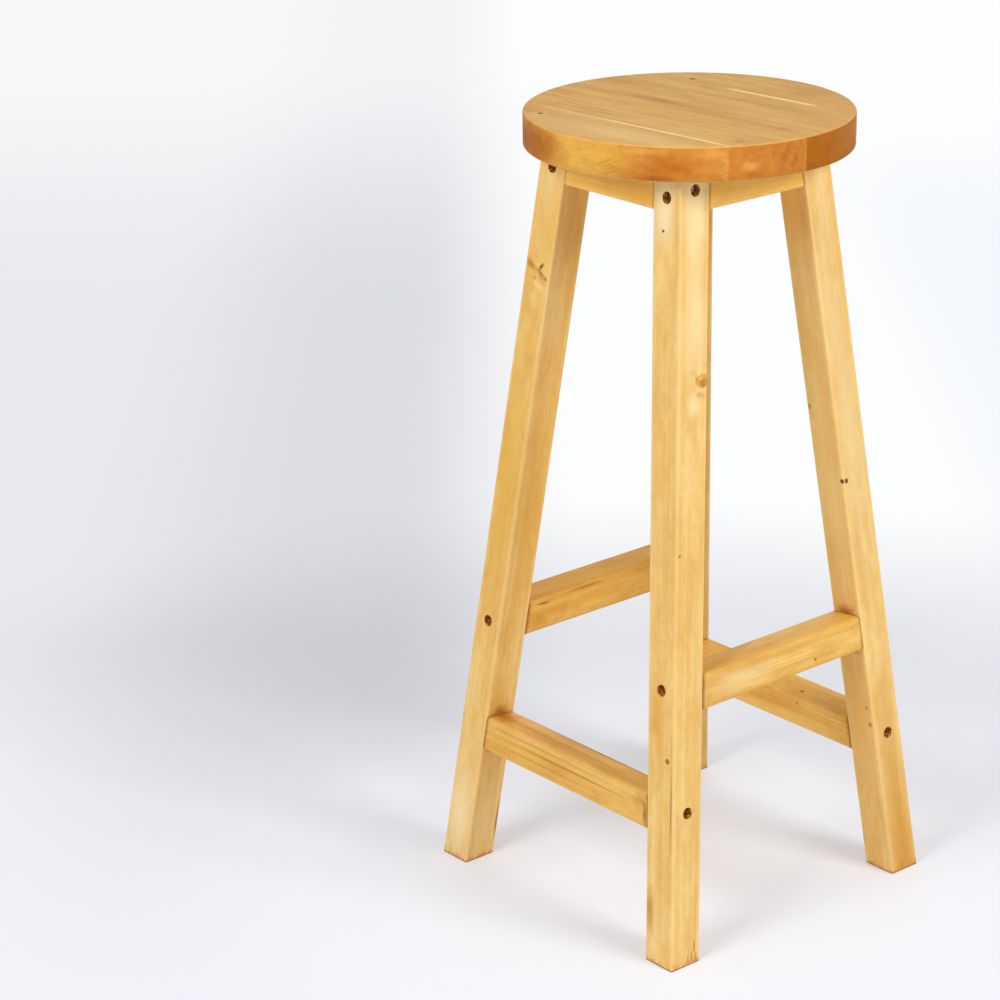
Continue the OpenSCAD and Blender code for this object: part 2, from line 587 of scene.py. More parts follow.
@dataclass(frozen=True)
class RimPatch:
    """A patch on the seat's rim, in degrees round it and millimetres below its top."""

    angle: float
    drop: float
    half_arc: float
    half_drop: float
    colour: str
    strength: float = 0.6
    tilt: float = 0.0
    softness: float = 0.9
    ragged: float = 0.7

    def stain(self, radius: float) -> Stain:
        """Wraps the patch round a rim.

        Args:
            radius: The rim's radius in millimetres.

        Returns:
            The stain, in the seat's axes.
        """
        a = math.radians(self.angle)
        centre = (radius * math.sin(a), -self.drop, radius * math.cos(a))
        size = (14, self.half_drop, radius * math.radians(self.half_arc))
        turn = (self.tilt, 90 + self.angle, 0)
        return Stain(centre, size, self.colour, self.strength, self.softness, self.ragged, turn)


@dataclass(frozen=True)
class Cut:
    """How one piece was sawn from its tree, and what marks it has."""

    pith: Pair
    seed: float
    tone: float = 1.0
    warmth: float = 0.0
    knots: tuple[Knot, ...] = ()
    stains: tuple[Stain, ...] = ()
    seams: tuple[Seam, ...] = ()
    rim_colour: str = ""
    rim_patches: tuple[RimPatch, ...] = ()

    @property
    def figure_seed(self) -> Triple:
        """Where the figure's noises are read for this piece."""
        return (self.seed, self.seed * 0.7, self.seed * 1.3)

    @property
    def knot_seed(self) -> Triple:
        """Where the knots' noises are read for this piece."""
        return (self.seed, 3.1, self.seed)


@dataclass
class Bed:
    """A wood material while it is being written, with what its layers read."""

    g: Graph
    effects: Effects
    point: Source
    figure: Any
    turn: Matrix
    cut: Cut

    def around(self, name: str, strength: float) -> Source:
        """Gives one of the figure's values as a change about zero of that strength."""
        return self.g.line(self.figure[name], strength, -strength / 2)

    def facing(self, way: Vector) -> Source:
        """Gives how squarely the surface faces a way or its opposite, from 0 to 1."""
        normal = self.g.node("ShaderNodeNewGeometry").outputs["Normal"]
        return self.g.math("ABSOLUTE", self.g.vector("DOT_PRODUCT", normal, way))

    def marked(self, colour: Any, tree: NodeTree, mark: Stain | Seam) -> Source:
        """Lays one stain or seam over the colour.

        Args:
            colour: The wood's colour so far.
            tree: The mark's node group.
            mark: The stain or seam.

        Returns:
            The colour with the mark.
        """
        mask = self.g.group(tree, Point=self.point, **mark.inputs())
        return self.g.mix(self.g.times(mask, mark.strength), colour, srgb(mark.colour))

    def knotted(self, colour: Any, knot: Knot, made: Node) -> Source:
        """Lays one knot over the colour.

        Args:
            colour: The wood's colour so far.
            knot: The knot.
            made: Its node group.

        Returns:
            The colour with the knot.
        """
        g = self.g
        colour = g.mix(g.times(made.outputs["Bend"], knot.halo), colour, srgb(knot.glow))
        shade = g.line(self.figure["Mottle"], 1.4, 0.3)
        heart = g.scaled(srgb(knot.colour)[:3], shade)
        return g.mix(g.times(made.outputs["Heart"], knot.heart), colour, heart)


@dataclass(frozen=True)
class WoodFinish:
    """Varnished pale wood: its colours, how strongly its figure shows, and its sheen."""

    slot: str
    pale: str
    golden: str
    amber: str
    pore: str = "#A8702C"
    ring_pitch: float = 4.2 * MM
    wander: float = 11.0 * MM
    rings: float = 0.4
    bands: float = 0.6
    clouds: float = 0.45
    mottle: float = 0.28
    streaks: float = 0.14
    fibres: float = 0.14
    pores: float = 0.3
    ends: float = 0.6
    # Painted highlight: the pale band along a bar's rounded long edges, and how far in it reaches.
    worn: float = 0.35
    worn_reach: float = 4.2 * MM
    roughness: float = 0.45
    roughness_spread: float = 0.16
    gloss: float = 0.12
    coat: float = 0.05
    coat_roughness: float = 0.25
    relief: float = 0.35
    relief_depth: float = 0.06 * MM
    ring_relief: float = 0.3
    fibre_relief: float = 0.8
    pore_relief: float = -0.5

    def material(
        self,
        name: str,
        effects: Effects,
        axes: Axes,
        cut: Cut,
        section: Pair | None = None,
    ) -> Material:
        """Makes the material of one piece.

        Args:
            name: The material's name.
            effects: The shared node groups.
            axes: The piece's own axes.
            cut: How the piece was sawn, and its marks.
            section: Width and thickness of a bar, whose long edges then get a painted highlight.

        Returns:
            The material.
        """
        material = bpy.data.materials.new(name)
        g = Graph.on(material)
        turn = axes.matrix()
        place = g.node("ShaderNodeTexCoord").outputs["Object"]
        laid = {"Vector": place, "Location": axes.origin, "Rotation": turn.to_euler()}
        point = g.node("ShaderNodeMapping", laid, vector_type="TEXTURE")
        knots = []
        push: Any = 0
        for knot in cut.knots:
            centre, size = mm(*knot.centre), mm(*knot.size)
            made = g.group(effects.knot, Point=point, Centre=centre, Size=size, Seed=cut.knot_seed)
            push = g.line(made.outputs["Halo"], knot.push * MM, push)
            knots.append(made)
        figure = g.group(
            effects.figure,
            Point=point,
            Pith=mm(*cut.pith, 0),
            Seed=cut.figure_seed,
            Ring_Pitch=self.ring_pitch,
            Wander=self.wander,
            Push=push,
        ).outputs
        bed = Bed(g, effects, point, figure, turn, cut)
        colour = self._figured(bed)
        # Painted highlight: the wood's pale colour laid along the bar's rounded long edges.
        if section:
            worn = g.group(
                effects.arris,
                Point=point,
                Half_Width=section[0] / 2,
                Half_Depth=section[1] / 2,
                Reach=self.worn_reach,
            ).outputs["Worn"]
            colour = g.mix(g.times(worn, self.worn), colour, srgb(self.pale))
        for stain in cut.stains:
            colour = bed.marked(colour, effects.stain, stain)
        for knot, made in zip(cut.knots, knots):
            colour = bed.knotted(colour, knot, made)
        for seam in cut.seams:
            colour = bed.marked(colour, effects.seam, seam)
        colour = self._ended(bed, colour)
        rough = g.math("ADD", bed.around("Streak", self.roughness_spread), self.roughness)
        height = g.times(figure["Fibre"], self.fibre_relief)
        height = g.line(figure["Rings"], self.ring_relief, height)
        height = g.line(figure["Pore"], self.pore_relief, height)
        bump = {"Strength": self.relief, "Distance": self.relief_depth, "Height": height}
        shader = g.node(
            "ShaderNodeBsdfPrincipled",
            {
                "Base Color": colour,
                "Roughness": rough,
                "Normal": g.node("ShaderNodeBump", bump),
                "Specular IOR Level": self.gloss,
                "Coat Weight": self.coat,
                "Coat Roughness": self.coat_roughness,
            },
        )
        g.node("ShaderNodeOutputMaterial", {"Surface": shader})
        return material

    def _figured(self, bed: Bed) -> Source:
        """Colours the bands, rings, clouds, streaks, fibres and pores.

        Args:
            bed: The material that is being written.

        Returns:
            The wood's colour.
        """
        g, figure, cut = bed.g, bed.figure, bed.cut
        lit = g.line(figure["Band"], self.bands, 0.5 - self.bands / 2 - cut.warmth, clamp=True)
        colour = g.mix(lit, srgb(self.golden), srgb(self.pale))
        amber = g.line(figure["Cloud"], self.clouds, cut.warmth, clamp=True)
        colour = g.mix(amber, colour, srgb(self.amber))
        colour = g.mix(g.times(figure["Rings"], self.rings), colour, srgb(self.amber))
        light = g.math("ADD", bed.around("Mottle", self.mottle), bed.around("Streak", self.streaks))
        light = g.math("ADD", light, bed.around("Fibre", self.fibres))
        colour = g.scaled(colour, g.math("ADD", light, cut.tone))
        return g.mix(g.times(figure["Pore"], self.pores), colour, srgb(self.pore))

    def _ended(self, bed: Bed, colour: Any) -> Source:
        """Darkens the end grain, which drinks more of the finish."""
        cut_across = bed.g.fade(bed.facing(bed.turn.col[2]), *FACING)
        return bed.g.mix(bed.g.times(cut_across, self.ends), colour, srgb(self.pore))


@dataclass(frozen=True)
class LegFinish(WoodFinish):
    """The legs' finish, which also soaks their feet and darkens their bottom edges with dirt and
    painted contact shadow.
    """

    soak: str = "#D2842F"
    soak_strength: float = 0.75
    soak_reach: float = 9.0 * MM
    # Dirt with painted contact shadow at the foot's bottom edge, and its strength.
    dirt: str = "#4E4236"
    dirt_strength: float = 0.8

    def _ended(self, bed: Bed, colour: Any) -> Source:
        """Soaks the foot's open pores and darkens its edge with dirt and painted contact shadow.

        Args:
            bed: The material that is being written.
            colour: The wood's colour so far.

        Returns:
            The colour with its foot.
        """
        g = bed.g
        height = g.split(g.node("ShaderNodeTexCoord").outputs["Object"])["Z"]
        seed = (bed.cut.seed, 0, bed.cut.seed)
        foot = g.group(
            bed.effects.foot, Point=bed.point, Height=height, Reach=self.soak_reach, Seed=seed
        ).outputs
        colour = g.mix(g.times(foot["Soaked"], self.soak_strength), colour, srgb(self.soak))
        colour = super()._ended(bed, colour)
        # Dirt with painted contact shadow along the foot's bottom edge.
        return g.mix(g.times(foot["Dirt"], self.dirt_strength), colour, srgb(self.dirt))


@dataclass(frozen=True)
class SeatFinish(WoodFinish):
    """The seat's finish: its rim drinks more of it than its top, and turns orange."""

    rim_long: str = "#E6AC4E"
    rim_end: str = "#D4873A"
    rim_ring: str = "#A85C1E"
    # Painted highlight on the rounded edge between the seat's top and its rim.
    rim_edge: str = "#EDBC6C"
    radius: float = 150.0
    rim_mottle: float = 0.5
    rim_fibres: float = 0.3
    long_rings: float = 0.12
    end_rings: float = 0.28
    under_shade: float = 0.9
    shaded_from: float = -18 * MM
    shaded_to: float = -32 * MM
    edge_gain: float = 1.5

    def _ended(self, bed: Bed, colour: Any) -> Source:
        """Colours the rim, from light long grain to orange end grain, with painted shade low down
        and a painted highlight on its top edge.

        Args:
            bed: The material that is being written.
            colour: The wood's colour so far.

        Returns:
            The colour with its rim.
        """
        g, figure, cut = bed.g, bed.figure, bed.cut
        upright = g.fade(bed.facing(Vector((0, 0, 1))), *FACING, 1, 0)
        end = g.fade(bed.facing(bed.turn.col[2]), 0.1, 0.5)
        rim = g.mix(end, srgb(self.rim_long), srgb(cut.rim_colour or self.rim_end))
        for patch in cut.rim_patches:
            rim = bed.marked(rim, bed.effects.stain, patch.stain(self.radius))
        ring_share = g.line(end, self.end_rings - self.long_rings, self.long_rings)
        rim = g.mix(g.times(figure["Rings"], ring_share), rim, srgb(self.rim_ring))
        mottle = bed.around("Mottle", self.rim_mottle)
        light = g.math("ADD", mottle, bed.around("Fibre", self.rim_fibres))
        shade = g.fade(g.split(bed.point)["Y"], self.shaded_to, self.shaded_from, self.under_shade)
        rim = g.scaled(rim, g.times(g.math("ADD", light, 1), shade))
        dressed = g.mix(upright, colour, rim)
        # Painted highlight: a lighter band where the top rounds over into the rim.
        edge = g.times(upright, g.less(1, upright), self.edge_gain)
        return g.mix(edge, dressed, srgb(self.rim_edge))


@dataclass(frozen=True)
class SpeckledFinish:
    """A finish with specks in it: the screws' dull steel, or the bare wood inside a bore."""

    name: str
    base: str
    speck: str
    metallic: float
    roughness: float
    scale: float
    amount: float
    bare: str = "#D4CED0"
    bare_metallic: float = -0.5
    bare_reach: Pair = (6 * MM, 9 * MM)
    grit: float = 0.3
    relief_depth: float = 0.05 * MM

    def material(self, effects: Effects, bare_at: Vector | None = None) -> Material:
        """Makes the material.

        Args:
            effects: The shared node groups.
            bare_at: Where one screw has no varnish over its head, so that its zinc shows.

        Returns:
            The material.
        """
        material = bpy.data.materials.new(self.name)
        g = Graph.on(material)
        point = g.node("ShaderNodeTexCoord").outputs["Object"]
        made = g.group(effects.speckle, Point=point, Scale=self.scale, Amount=self.amount).outputs
        colour = g.mix(made["Specks"], srgb(self.base), srgb(self.speck))
        metallic: Any = self.metallic
        if bare_at:
            away = g.vector("LENGTH", g.vector("SUBTRACT", point, bare_at))
            bare = g.fade(away, *self.bare_reach, 1, 0)
            colour = g.mix(bare, colour, srgb(self.bare))
            metallic = g.line(bare, self.bare_metallic, self.metallic)
        rough = g.line(made["Grit"], self.grit, self.roughness - self.grit / 2)
        relief = {"Strength": self.grit, "Distance": self.relief_depth, "Height": made["Grit"]}
        bump = g.node("ShaderNodeBump", relief)
        shader = g.node(
            "ShaderNodeBsdfPrincipled",
            {"Base Color": colour, "Metallic": metallic, "Roughness": rough, "Normal": bump},
        )
        g.node("ShaderNodeOutputMaterial", {"Surface": shader})
        return material


SEAT_WOOD = SeatFinish(
    slot="seat_wood",
    pale="#DEB266",
    golden="#D3A154",
    amber="#BE8136",
    ring_pitch=3.1 * MM,
    rings=0.45,
    clouds=0.3,
    ends=0,
    mottle=0.24,
    streaks=0.22,
    roughness=0.5,
    gloss=0.07,
    coat=0,
)
LEG_WOOD = LegFinish(slot="leg_wood", pale="#F8D48E", golden="#EFC570", amber="#E0A64A", rings=0.3)
# The aprons' finish is a brighter, more orange copy of the leg wood: painted light that stands in
# for the light the seat shades off them.
APRON_WOOD = WoodFinish(slot="leg_wood", pale="#FFD57C", golden="#F8C45E", amber="#E8A840", worn=0)
RAIL_WOOD = WoodFinish(
    slot="rail_wood",
    pale="#F4CA74",
    golden="#E9B450",
    amber="#D08E30",
    rings=0.28,
    bands=0.8,
    mottle=0.26,
    streaks=0.18,
    worn=0.05,
)
STEEL = SpeckledFinish(
    name="dull_steel",
    base="#B8924C",
    speck="#664420",
    metallic=0.85,
    roughness=0.5,
    scale=900,
    amount=0.4,
)
BORE = SpeckledFinish(
    name="bored_wood",
    base="#9C500C",
    speck="#FFC45A",
    metallic=0,
    roughness=0.8,
    scale=400,
    amount=0.85,
)


# ---- sizes


@dataclass(frozen=True)
class StoolSizes:
    """The stool's driving sizes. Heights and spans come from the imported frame."""

    half_foot: float
    half_top: float
    leg_h: float
    seat_h: float
    leg_w: float = 35 * MM
    cross_z: float = 140 * MM
    side_z: float = 252.5 * MM

    @classmethod
    def from_frame(cls) -> StoolSizes:
        """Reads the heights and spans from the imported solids.

        Returns:
            The sizes.
        """
        low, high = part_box("leg_front_right")
        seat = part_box("seat_board_front")[1]
        return cls(half_foot=high.x, half_top=low.x + cls.leg_w, leg_h=high.z, seat_h=seat.z)

    @property
    def slope(self) -> float:
        """How far a leg leans in, on each axis, for each metre of height."""
        return (self.half_foot - self.half_top) / self.leg_h

    @property
    def lean(self) -> float:
        """The angle of that lean, in radians."""
        return math.atan(self.slope)

    def outer(self, z: float) -> float:
        """Distance from the centre to the legs' outer faces at a height."""
        return self.half_foot - self.slope * z

    def middle(self, z: float) -> float:
        """Distance from the centre to the legs' middle lines at a height."""
        return self.outer(z) - self.leg_w / 2

    def inner(self, z: float) -> float:
        """Distance from the centre to the legs' inner faces at a height."""
        return self.outer(z) - self.leg_w


@dataclass(frozen=True)
class Place:
    """Where a screw's head is seated, and the way that its head faces."""

    at: Vector
    aim: Vector


class Named(Enum):
    """A choice of legs or sides."""

    @property
    def label(self) -> str:
        """The choice's name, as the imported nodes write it."""
        return self.name.lower()


class Quarter(Named):
    """The four legs, as the signs of their X and Y."""

    FRONT_LEFT = (-1, -1)
    FRONT_RIGHT = (1, -1)
    BACK_LEFT = (-1, 1)
    BACK_RIGHT = (1, 1)


class Side(Named):
    """The four sides, as the turn in degrees that takes the back side there."""

    BACK = 0
    LEFT = 90
    FRONT = 180
    RIGHT = 270

    @property
    def crosses(self) -> bool:
        """Whether this is the front or the back side."""
        return self in (Side.FRONT, Side.BACK)

    def turned(self, point: Vector) -> Vector:
        """Takes a point or direction of the back side to this side."""
        return Matrix.Rotation(math.radians(self.value), 3, "Z") @ point

    def quarters(self) -> list[Quarter]:
        """The two legs at the ends of this side's rails."""
        away = self.turned(Vector((0, 1, 0)))
        return [q for q in Quarter if q.value[0] * away.x + q.value[1] * away.y > 0.5]


@dataclass(frozen=True)
class ScrewPlan:
    """Sizes of the screws and their bores, and where they go."""

    sizes: StoolSizes
    shank_r: float = 2.5 * MM
    core_r: float = 1.75 * MM
    head_r: float = 4.5 * MM
    head_h: float = 3 * MM
    pitch: float = 2.4 * MM
    point_l: float = 7 * MM
    leg_screw_l: float = 70 * MM
    seat_screw_l: float = 40 * MM
    seat_bite: float = 20 * MM
    bore_r: float = 5.5 * MM
    bore_depth: float = 9 * MM
    room: float = 0.1 * MM
    front_drop: float = 20.5 * MM
    side_drop: float = 14 * MM
    rises: Triple = (0.0, 6 * MM, 5 * MM)
    apron_h: float = 34 * MM

    def leg(self, quarter: Quarter) -> list[Place]:
        """Gives the four screws of one leg.

        Args:
            quarter: Which leg.

        Returns:
            Their places, from the top down.
        """
        s = self.sizes
        i, j = quarter.value
        left_rise, right_rise, cross_rise = self.rises
        side_rise = left_rise if i < 0 else right_rise
        rows = [
            ("y", s.leg_h - self.front_drop),
            ("x", s.leg_h - self.side_drop),
            ("y", s.side_z + side_rise),
            ("x", s.cross_z + cross_rise),
        ]
        places = []
        for axis, z in rows:
            seat = s.outer(z) - self.bore_depth
            if axis == "y":
                places.append(Place(Vector((i * s.middle(z), j * seat, z)), Vector((0, j, 0))))
            else:
                places.append(Place(Vector((i * seat, j * s.middle(z), z)), Vector((i, 0, 0))))
        return places

    def apron(self, side: Side) -> Place:
        """Gives the screw that goes up through one apron into the seat.

        Args:
            side: Which side of the stool the apron is on.

        Returns:
            The screw's place.
        """
        s = self.sizes
        depth = s.middle(s.leg_h - self.apron_h / 2)
        z = s.leg_h + self.seat_bite - self.seat_screw_l
        return Place(side.turned(Vector((0, depth, z))), Vector((0, 0, -1)))


# ---- geometry node trees


NECK_SHARE = 0.3
NECK_FIT = 0.92
TIP_R = 0.15 * MM
RIDGE_DEPTH = 0.9
RIDGE_SIZE = 0.85
DOME_POWER = 5
CREASE = 0.6
SCREW_CREASE = 0.75
BOARD_CREASE = math.radians(34)
EASED_PAST = math.radians(50)


class Joinery:
    """The geometry node trees of the stool: swept bars, bores and screws."""

    def __init__(self) -> None:
        """Builds every tree."""
        self.sweep = self._sweep()
        self.leg = self._leg()
        self.rail = self._rail()
        self.bore = self._bore()
        self.screws = self._screws()

    @staticmethod
    def _sweep() -> NodeTree:
        """Builds a bar along Z from four corners, with rounded long edges.

        Returns:
            The shared group.
        """
        g = GroupDraft("rounded_bar", "GeometryNodeTree")
        corners = g.takes("vector", *CORNERS)
        start, stop = g.takes("vector", "Start", "Stop")
        arris, square_above = g.takes("float", "Arris", "Square Above")
        [steps] = g.takes("int", "Arris Steps")
        points = {f"Point {n}": corner for n, corner in enumerate(corners, 1)}
        outline = g.node("GeometryNodeCurvePrimitiveQuadrilateral", points, mode="POINTS")
        radius = g.times(g.math("LESS_THAN", g.position()["Y"], square_above), arris)
        rounding = {"Curve": outline, "Count": steps, "Radius": radius, "Limit Radius": True}
        rounded = g.node("GeometryNodeFilletCurve", rounding, mode="POLY")
        path = g.node("GeometryNodeCurvePrimitiveLine", {"Start": start, "End": stop})
        bar = {"Curve": path, "Profile Curve": rounded, "Fill Caps": True}
        swept = g.node("GeometryNodeCurveToMesh", bar)
        doubles = {"Geometry": swept, "Distance": 0.001 * MM}
        g.gives("Mesh", g.node("GeometryNodeMergeByDistance", doubles), "mesh")
        return g.tree

    @staticmethod
    def _smooth(g: Graph, solid: Any, crease: float = CREASE) -> Source:
        """Smooths a solid except at its creases.

        Args:
            g: The graph that is being written.
            solid: The solid.
            crease: The angle past which an edge stays sharp, in radians.

        Returns:
            The smoothed solid.
        """
        angle = g.node("GeometryNodeInputMeshEdgeAngle").outputs["Unsigned Angle"]
        sharp = g.math("GREATER_THAN", angle, crease)
        for domain, picked, smooth in (("FACE", True, True), ("EDGE", sharp, False)):
            shading = {"Geometry": solid, "Selection": picked, "Shade Smooth": smooth}
            solid = g.node("GeometryNodeSetShadeSmooth", shading, domain=domain)
        return solid

    @staticmethod
    def _finish(g: GroupDraft, solid: Any, material: Any, faces: Any = True) -> NodeTree:
        """Ends a tree: makes the solid real and gives it its material.

        Args:
            g: The tree that is being written.
            solid: The solid.
            material: The material.
            faces: Which faces get it.

        Returns:
            The tree.
        """
        real = g.node("GeometryNodeRealizeInstances", {"Geometry": solid})
        finished = {"Geometry": real, "Selection": faces, "Material": material}
        g.gives("Geometry", g.node("GeometryNodeSetMaterial", finished), "mesh")
        return g.tree

    def _leg(self) -> NodeTree:
        """Builds a leg: a square bar that stays level in section while it leans.

        Returns:
            The tree.
        """
        g = GroupDraft("splayed_leg", "GeometryNodeTree")
        g.tree.is_modifier = True
        g.takes("mesh", "Geometry")
        section, arris, height = g.takes("float", "Section", "Arris", "Height")
        [steps] = g.takes("int", "Arris Steps")
        lean, foot = g.takes("vector", "Lean", "Foot")
        [material] = g.takes("material", "Material")
        half = g.times(section, 0.5)
        minus = g.times(section, -0.5)
        bar = g.group(
            self.sweep,
            Corner_1=g.xyz(minus, minus),
            Corner_2=g.xyz(half, minus),
            Corner_3=g.xyz(half, half),
            Corner_4=g.xyz(minus, half),
            Arris=arris,
            Arris_Steps=steps,
            Square_Above=1,
            Stop=g.xyz(z=height),
        )
        offset = g.vector("ADD", g.scaled(lean, g.position()["Z"]), foot)
        placed = g.node("GeometryNodeSetPosition", {"Geometry": bar, "Offset": offset})
        return self._finish(g, self._smooth(g, placed), material)

    def _rail(self) -> NodeTree:
        """Builds an apron or stretcher: a bar tilted with the legs, whose ends meet their faces.

        Returns:
            The tree.
        """
        g = GroupDraft("splayed_rail", "GeometryNodeTree")
        g.tree.is_modifier = True
        g.takes("mesh", "Geometry")
        *corners, place = g.takes("vector", *CORNERS, "Place")
        arris, square_above, reach = g.takes("float", "Arris", "Square Above", "Reach")
        gap, slope = g.takes("float", "Gap At Floor", "Gap Slope")
        [steps] = g.takes("int", "Arris Steps")
        tilt, side = g.takes("rotation", "Tilt", "Side Turn")
        [material] = g.takes("material", "Material")
        bar = g.group(
            self.sweep,
            **dict(zip(CORNERS, corners)),
            Arris=arris,
            Arris_Steps=steps,
            Square_Above=square_above,
            Start=g.xyz(z=g.times(reach, -1)),
            Stop=g.xyz(z=reach),
        )
        tilted = g.moved(bar, Translation=place, Rotation=tilt)
        parts = g.position()
        half_gap = g.less(gap, g.times(slope, parts["Z"]))
        there = g.xyz(g.times(g.math("SIGN", parts["X"]), half_gap), parts["Y"], parts["Z"])
        fitted = g.node("GeometryNodeSetPosition", {"Geometry": tilted, "Position": there})
        turned = g.moved(fitted, Rotation=side)
        return self._finish(g, self._smooth(g, turned), material)

    @staticmethod
    def _facing(g: Graph) -> Source:
        """Gives the turn that takes +Z to each place's aim.

        Args:
            g: The graph that is being written.

        Returns:
            The turn.
        """
        named = {"Name": AIM}
        aim = g.node("GeometryNodeInputNamedAttribute", named, data_type="FLOAT_VECTOR")
        return g.node("FunctionNodeAlignRotationToVector", {"Vector": aim}, axis="Z")

    def _bore(self) -> NodeTree:
        """Builds the drilling: a shank hole and a counterbore at every screw place.

        Returns:
            The tree.
        """
        g = GroupDraft("screw_bores", "GeometryNodeTree")
        g.tree.is_modifier = True
        [blank] = g.takes("mesh", "Geometry")
        [places] = g.takes("object", "Places")
        hole_r, hole_l = g.takes("float", "Hole Radius", "Hole Length")
        bore_r, bore_l = g.takes("float", "Bore Radius", "Bore Length")
        [material] = g.takes("material", "Bored Wood")
        points = g.node("GeometryNodeObjectInfo", {"Object": places}).outputs["Geometry"]
        facing = self._facing(g)
        drills = []
        for radius, length, share, shift, sides in (
            (hole_r, hole_l, -0.5, DRILL_OVER, 28),
            (bore_r, bore_l, 0.5, 0, 48),
        ):
            rod = self._rod(g, radius, length, g.line(length, share, shift), sides)
            marked = g.node(
                "GeometryNodeStoreNamedAttribute",
                {"Geometry": self._smooth(g, rod), "Name": BORED, "Value": True},
                data_type="BOOLEAN",
                domain="FACE",
            )
            placing = {"Points": points, "Instance": marked, "Rotation": facing}
            copies = g.node("GeometryNodeInstanceOnPoints", placing)
            drills.append(g.node("GeometryNodeRealizeInstances", {"Geometry": copies}))
        bored = g.node("GeometryNodeInputNamedAttribute", {"Name": BORED}, data_type="BOOLEAN")
        return self._finish(g, self._cut_out(g, blank, drills), material, bored)

    @staticmethod
    def _rod(g: Graph, radius: Any, length: Any, lift: Any, sides: int, rows: int = 1) -> Source:
        """Turns a round rod along Z.

        Args:
            g: The graph that is being written.
            radius: Its radius.
            length: Its length.
            lift: The height of its middle.
            sides: How many flats its round has.
            rows: How many rows of faces it has up its side.

        Returns:
            The rod.
        """
        size = {"Vertices": sides, "Side Segments": rows, "Radius": radius, "Depth": length}
        rod = g.node("GeometryNodeMeshCylinder", size)
        return g.moved(rod, Translation=g.xyz(z=lift))

    @staticmethod
    def _cut_out(g: Graph, solid: Any, cutters: Iterable[Source]) -> Source:
        """Cuts solids out of a solid.

        Args:
            g: The graph that is being written.
            solid: What is cut.
            cutters: What is taken away.

        Returns:
            What is left.
        """
        whole = {"Mesh 1": solid}
        cut = g.node("GeometryNodeMeshBoolean", whole, operation="DIFFERENCE", solver="EXACT")
        for cutter in cutters:
            g.feed(cut.inputs["Mesh 2"], cutter)
        return cut

    def _screws(self) -> NodeTree:
        """Builds a screw at every place: a domed head with a cross recess on a threaded shank.

        Returns:
            The tree.
        """
        g = GroupDraft("wood_screws", "GeometryNodeTree")
        g.tree.is_modifier = True
        [points] = g.takes("mesh", "Geometry")
        [seed] = g.takes("int", "Seed")
        [material] = g.takes("material", "Material")
        whole = g.node("GeometryNodeJoinGeometry")
        for part in [self._screw_head(g), *self._screw_shank(g)]:
            g.feed(whole.inputs[0], part)
        span = {2: 0, 3: math.tau, "Seed": seed}
        spin = g.node("FunctionNodeRandomValue", span, data_type="FLOAT").outputs[1]
        turn = g.node("FunctionNodeAxisAngleToRotation", {"Axis": (0, 0, 1), "Angle": spin})
        spun = {"Rotation": self._facing(g), "Rotate By": turn}
        facing = g.node("FunctionNodeRotateRotation", spun, rotation_space="LOCAL")
        placing = {"Points": points, "Instance": whole, "Rotation": facing}
        copies = g.node("GeometryNodeInstanceOnPoints", placing)
        return self._finish(g, self._smooth(g, copies, SCREW_CREASE), material)

    def _screw_head(self, g: GroupDraft) -> Source:
        """Builds the head from its underside up, with its cross recess.

        Args:
            g: The tree that is being written, which takes the head's sizes. The dome is the share
                of the radius that it takes off at the top.

        Returns:
            The head.
        """
        radius, height, dome = g.takes("float", "Head Radius", "Head Height", "Dome")
        long, wide, deep = g.takes("float", "Recess Length", "Recess Width", "Recess Depth")
        disc = self._rod(g, radius, height, g.times(height, 0.5), 40, 8)
        parts = g.position()
        share = g.math("DIVIDE", parts["Z"], height)
        kept = g.less(1, g.times(g.math("POWER", share, DOME_POWER), dome))
        there = g.xyz(g.times(parts["X"], kept), g.times(parts["Y"], kept), parts["Z"])
        domed = g.node("GeometryNodeSetPosition", {"Geometry": disc, "Position": there})
        arms = []
        for x, y in ((long, wide), (wide, long)):
            arm = g.node("GeometryNodeMeshCube", {"Size": g.xyz(x, y, g.times(deep, 2))})
            arms.append(g.moved(arm, Translation=g.xyz(z=height)))
        return self._cut_out(g, domed, arms)

    def _screw_shank(self, g: GroupDraft) -> list[Source]:
        """Builds the core, the plain neck, the point and the thread below the head.

        Args:
            g: The tree that is being written, which takes the shank's sizes. The length is the
                screw's length under its head.

        Returns:
            The parts.
        """
        length, shank_r, core_r = g.takes("float", "Length", "Shank Radius", "Core Radius")
        point_l, pitch = g.takes("float", "Point Length", "Pitch")
        body_l = g.less(length, point_l)
        neck_l = g.times(length, NECK_SHARE)
        neck_r = g.times(shank_r, NECK_FIT)
        core = self._rod(g, core_r, body_l, g.times(body_l, -0.5), 20)
        neck = self._rod(g, neck_r, neck_l, g.times(neck_l, -0.5), 20)
        cone = {"Vertices": 20, "Radius Top": TIP_R, "Radius Bottom": core_r, "Depth": point_l}
        tip = g.node("GeometryNodeMeshCone", cone)
        at_tip = g.xyz(z=g.times(body_l, -1))
        pointed = g.moved(tip, Translation=at_tip, Rotation=(math.pi, 0, 0))
        thread_l = g.less(body_l, neck_l)
        ridge_r = g.less(shank_r, core_r)
        line_r = g.less(shank_r, g.times(ridge_r, RIDGE_DEPTH))
        helix = g.node(
            "GeometryNodeCurveSpiral",
            {
                "Resolution": 18,
                "Rotations": g.math("DIVIDE", thread_l, pitch),
                "Start Radius": line_r,
                "End Radius": line_r,
                "Height": thread_l,
            },
        )
        upright = g.node("GeometryNodeSetCurveNormal", {"Curve": helix}, mode="Z_UP")
        triangle = {"Resolution": 3, "Radius": g.times(ridge_r, RIDGE_SIZE)}
        ridge = g.node("GeometryNodeCurvePrimitiveCircle", triangle)
        wound = {"Curve": upright, "Profile Curve": ridge, "Fill Caps": True}
        thread = g.node("GeometryNodeCurveToMesh", wound)
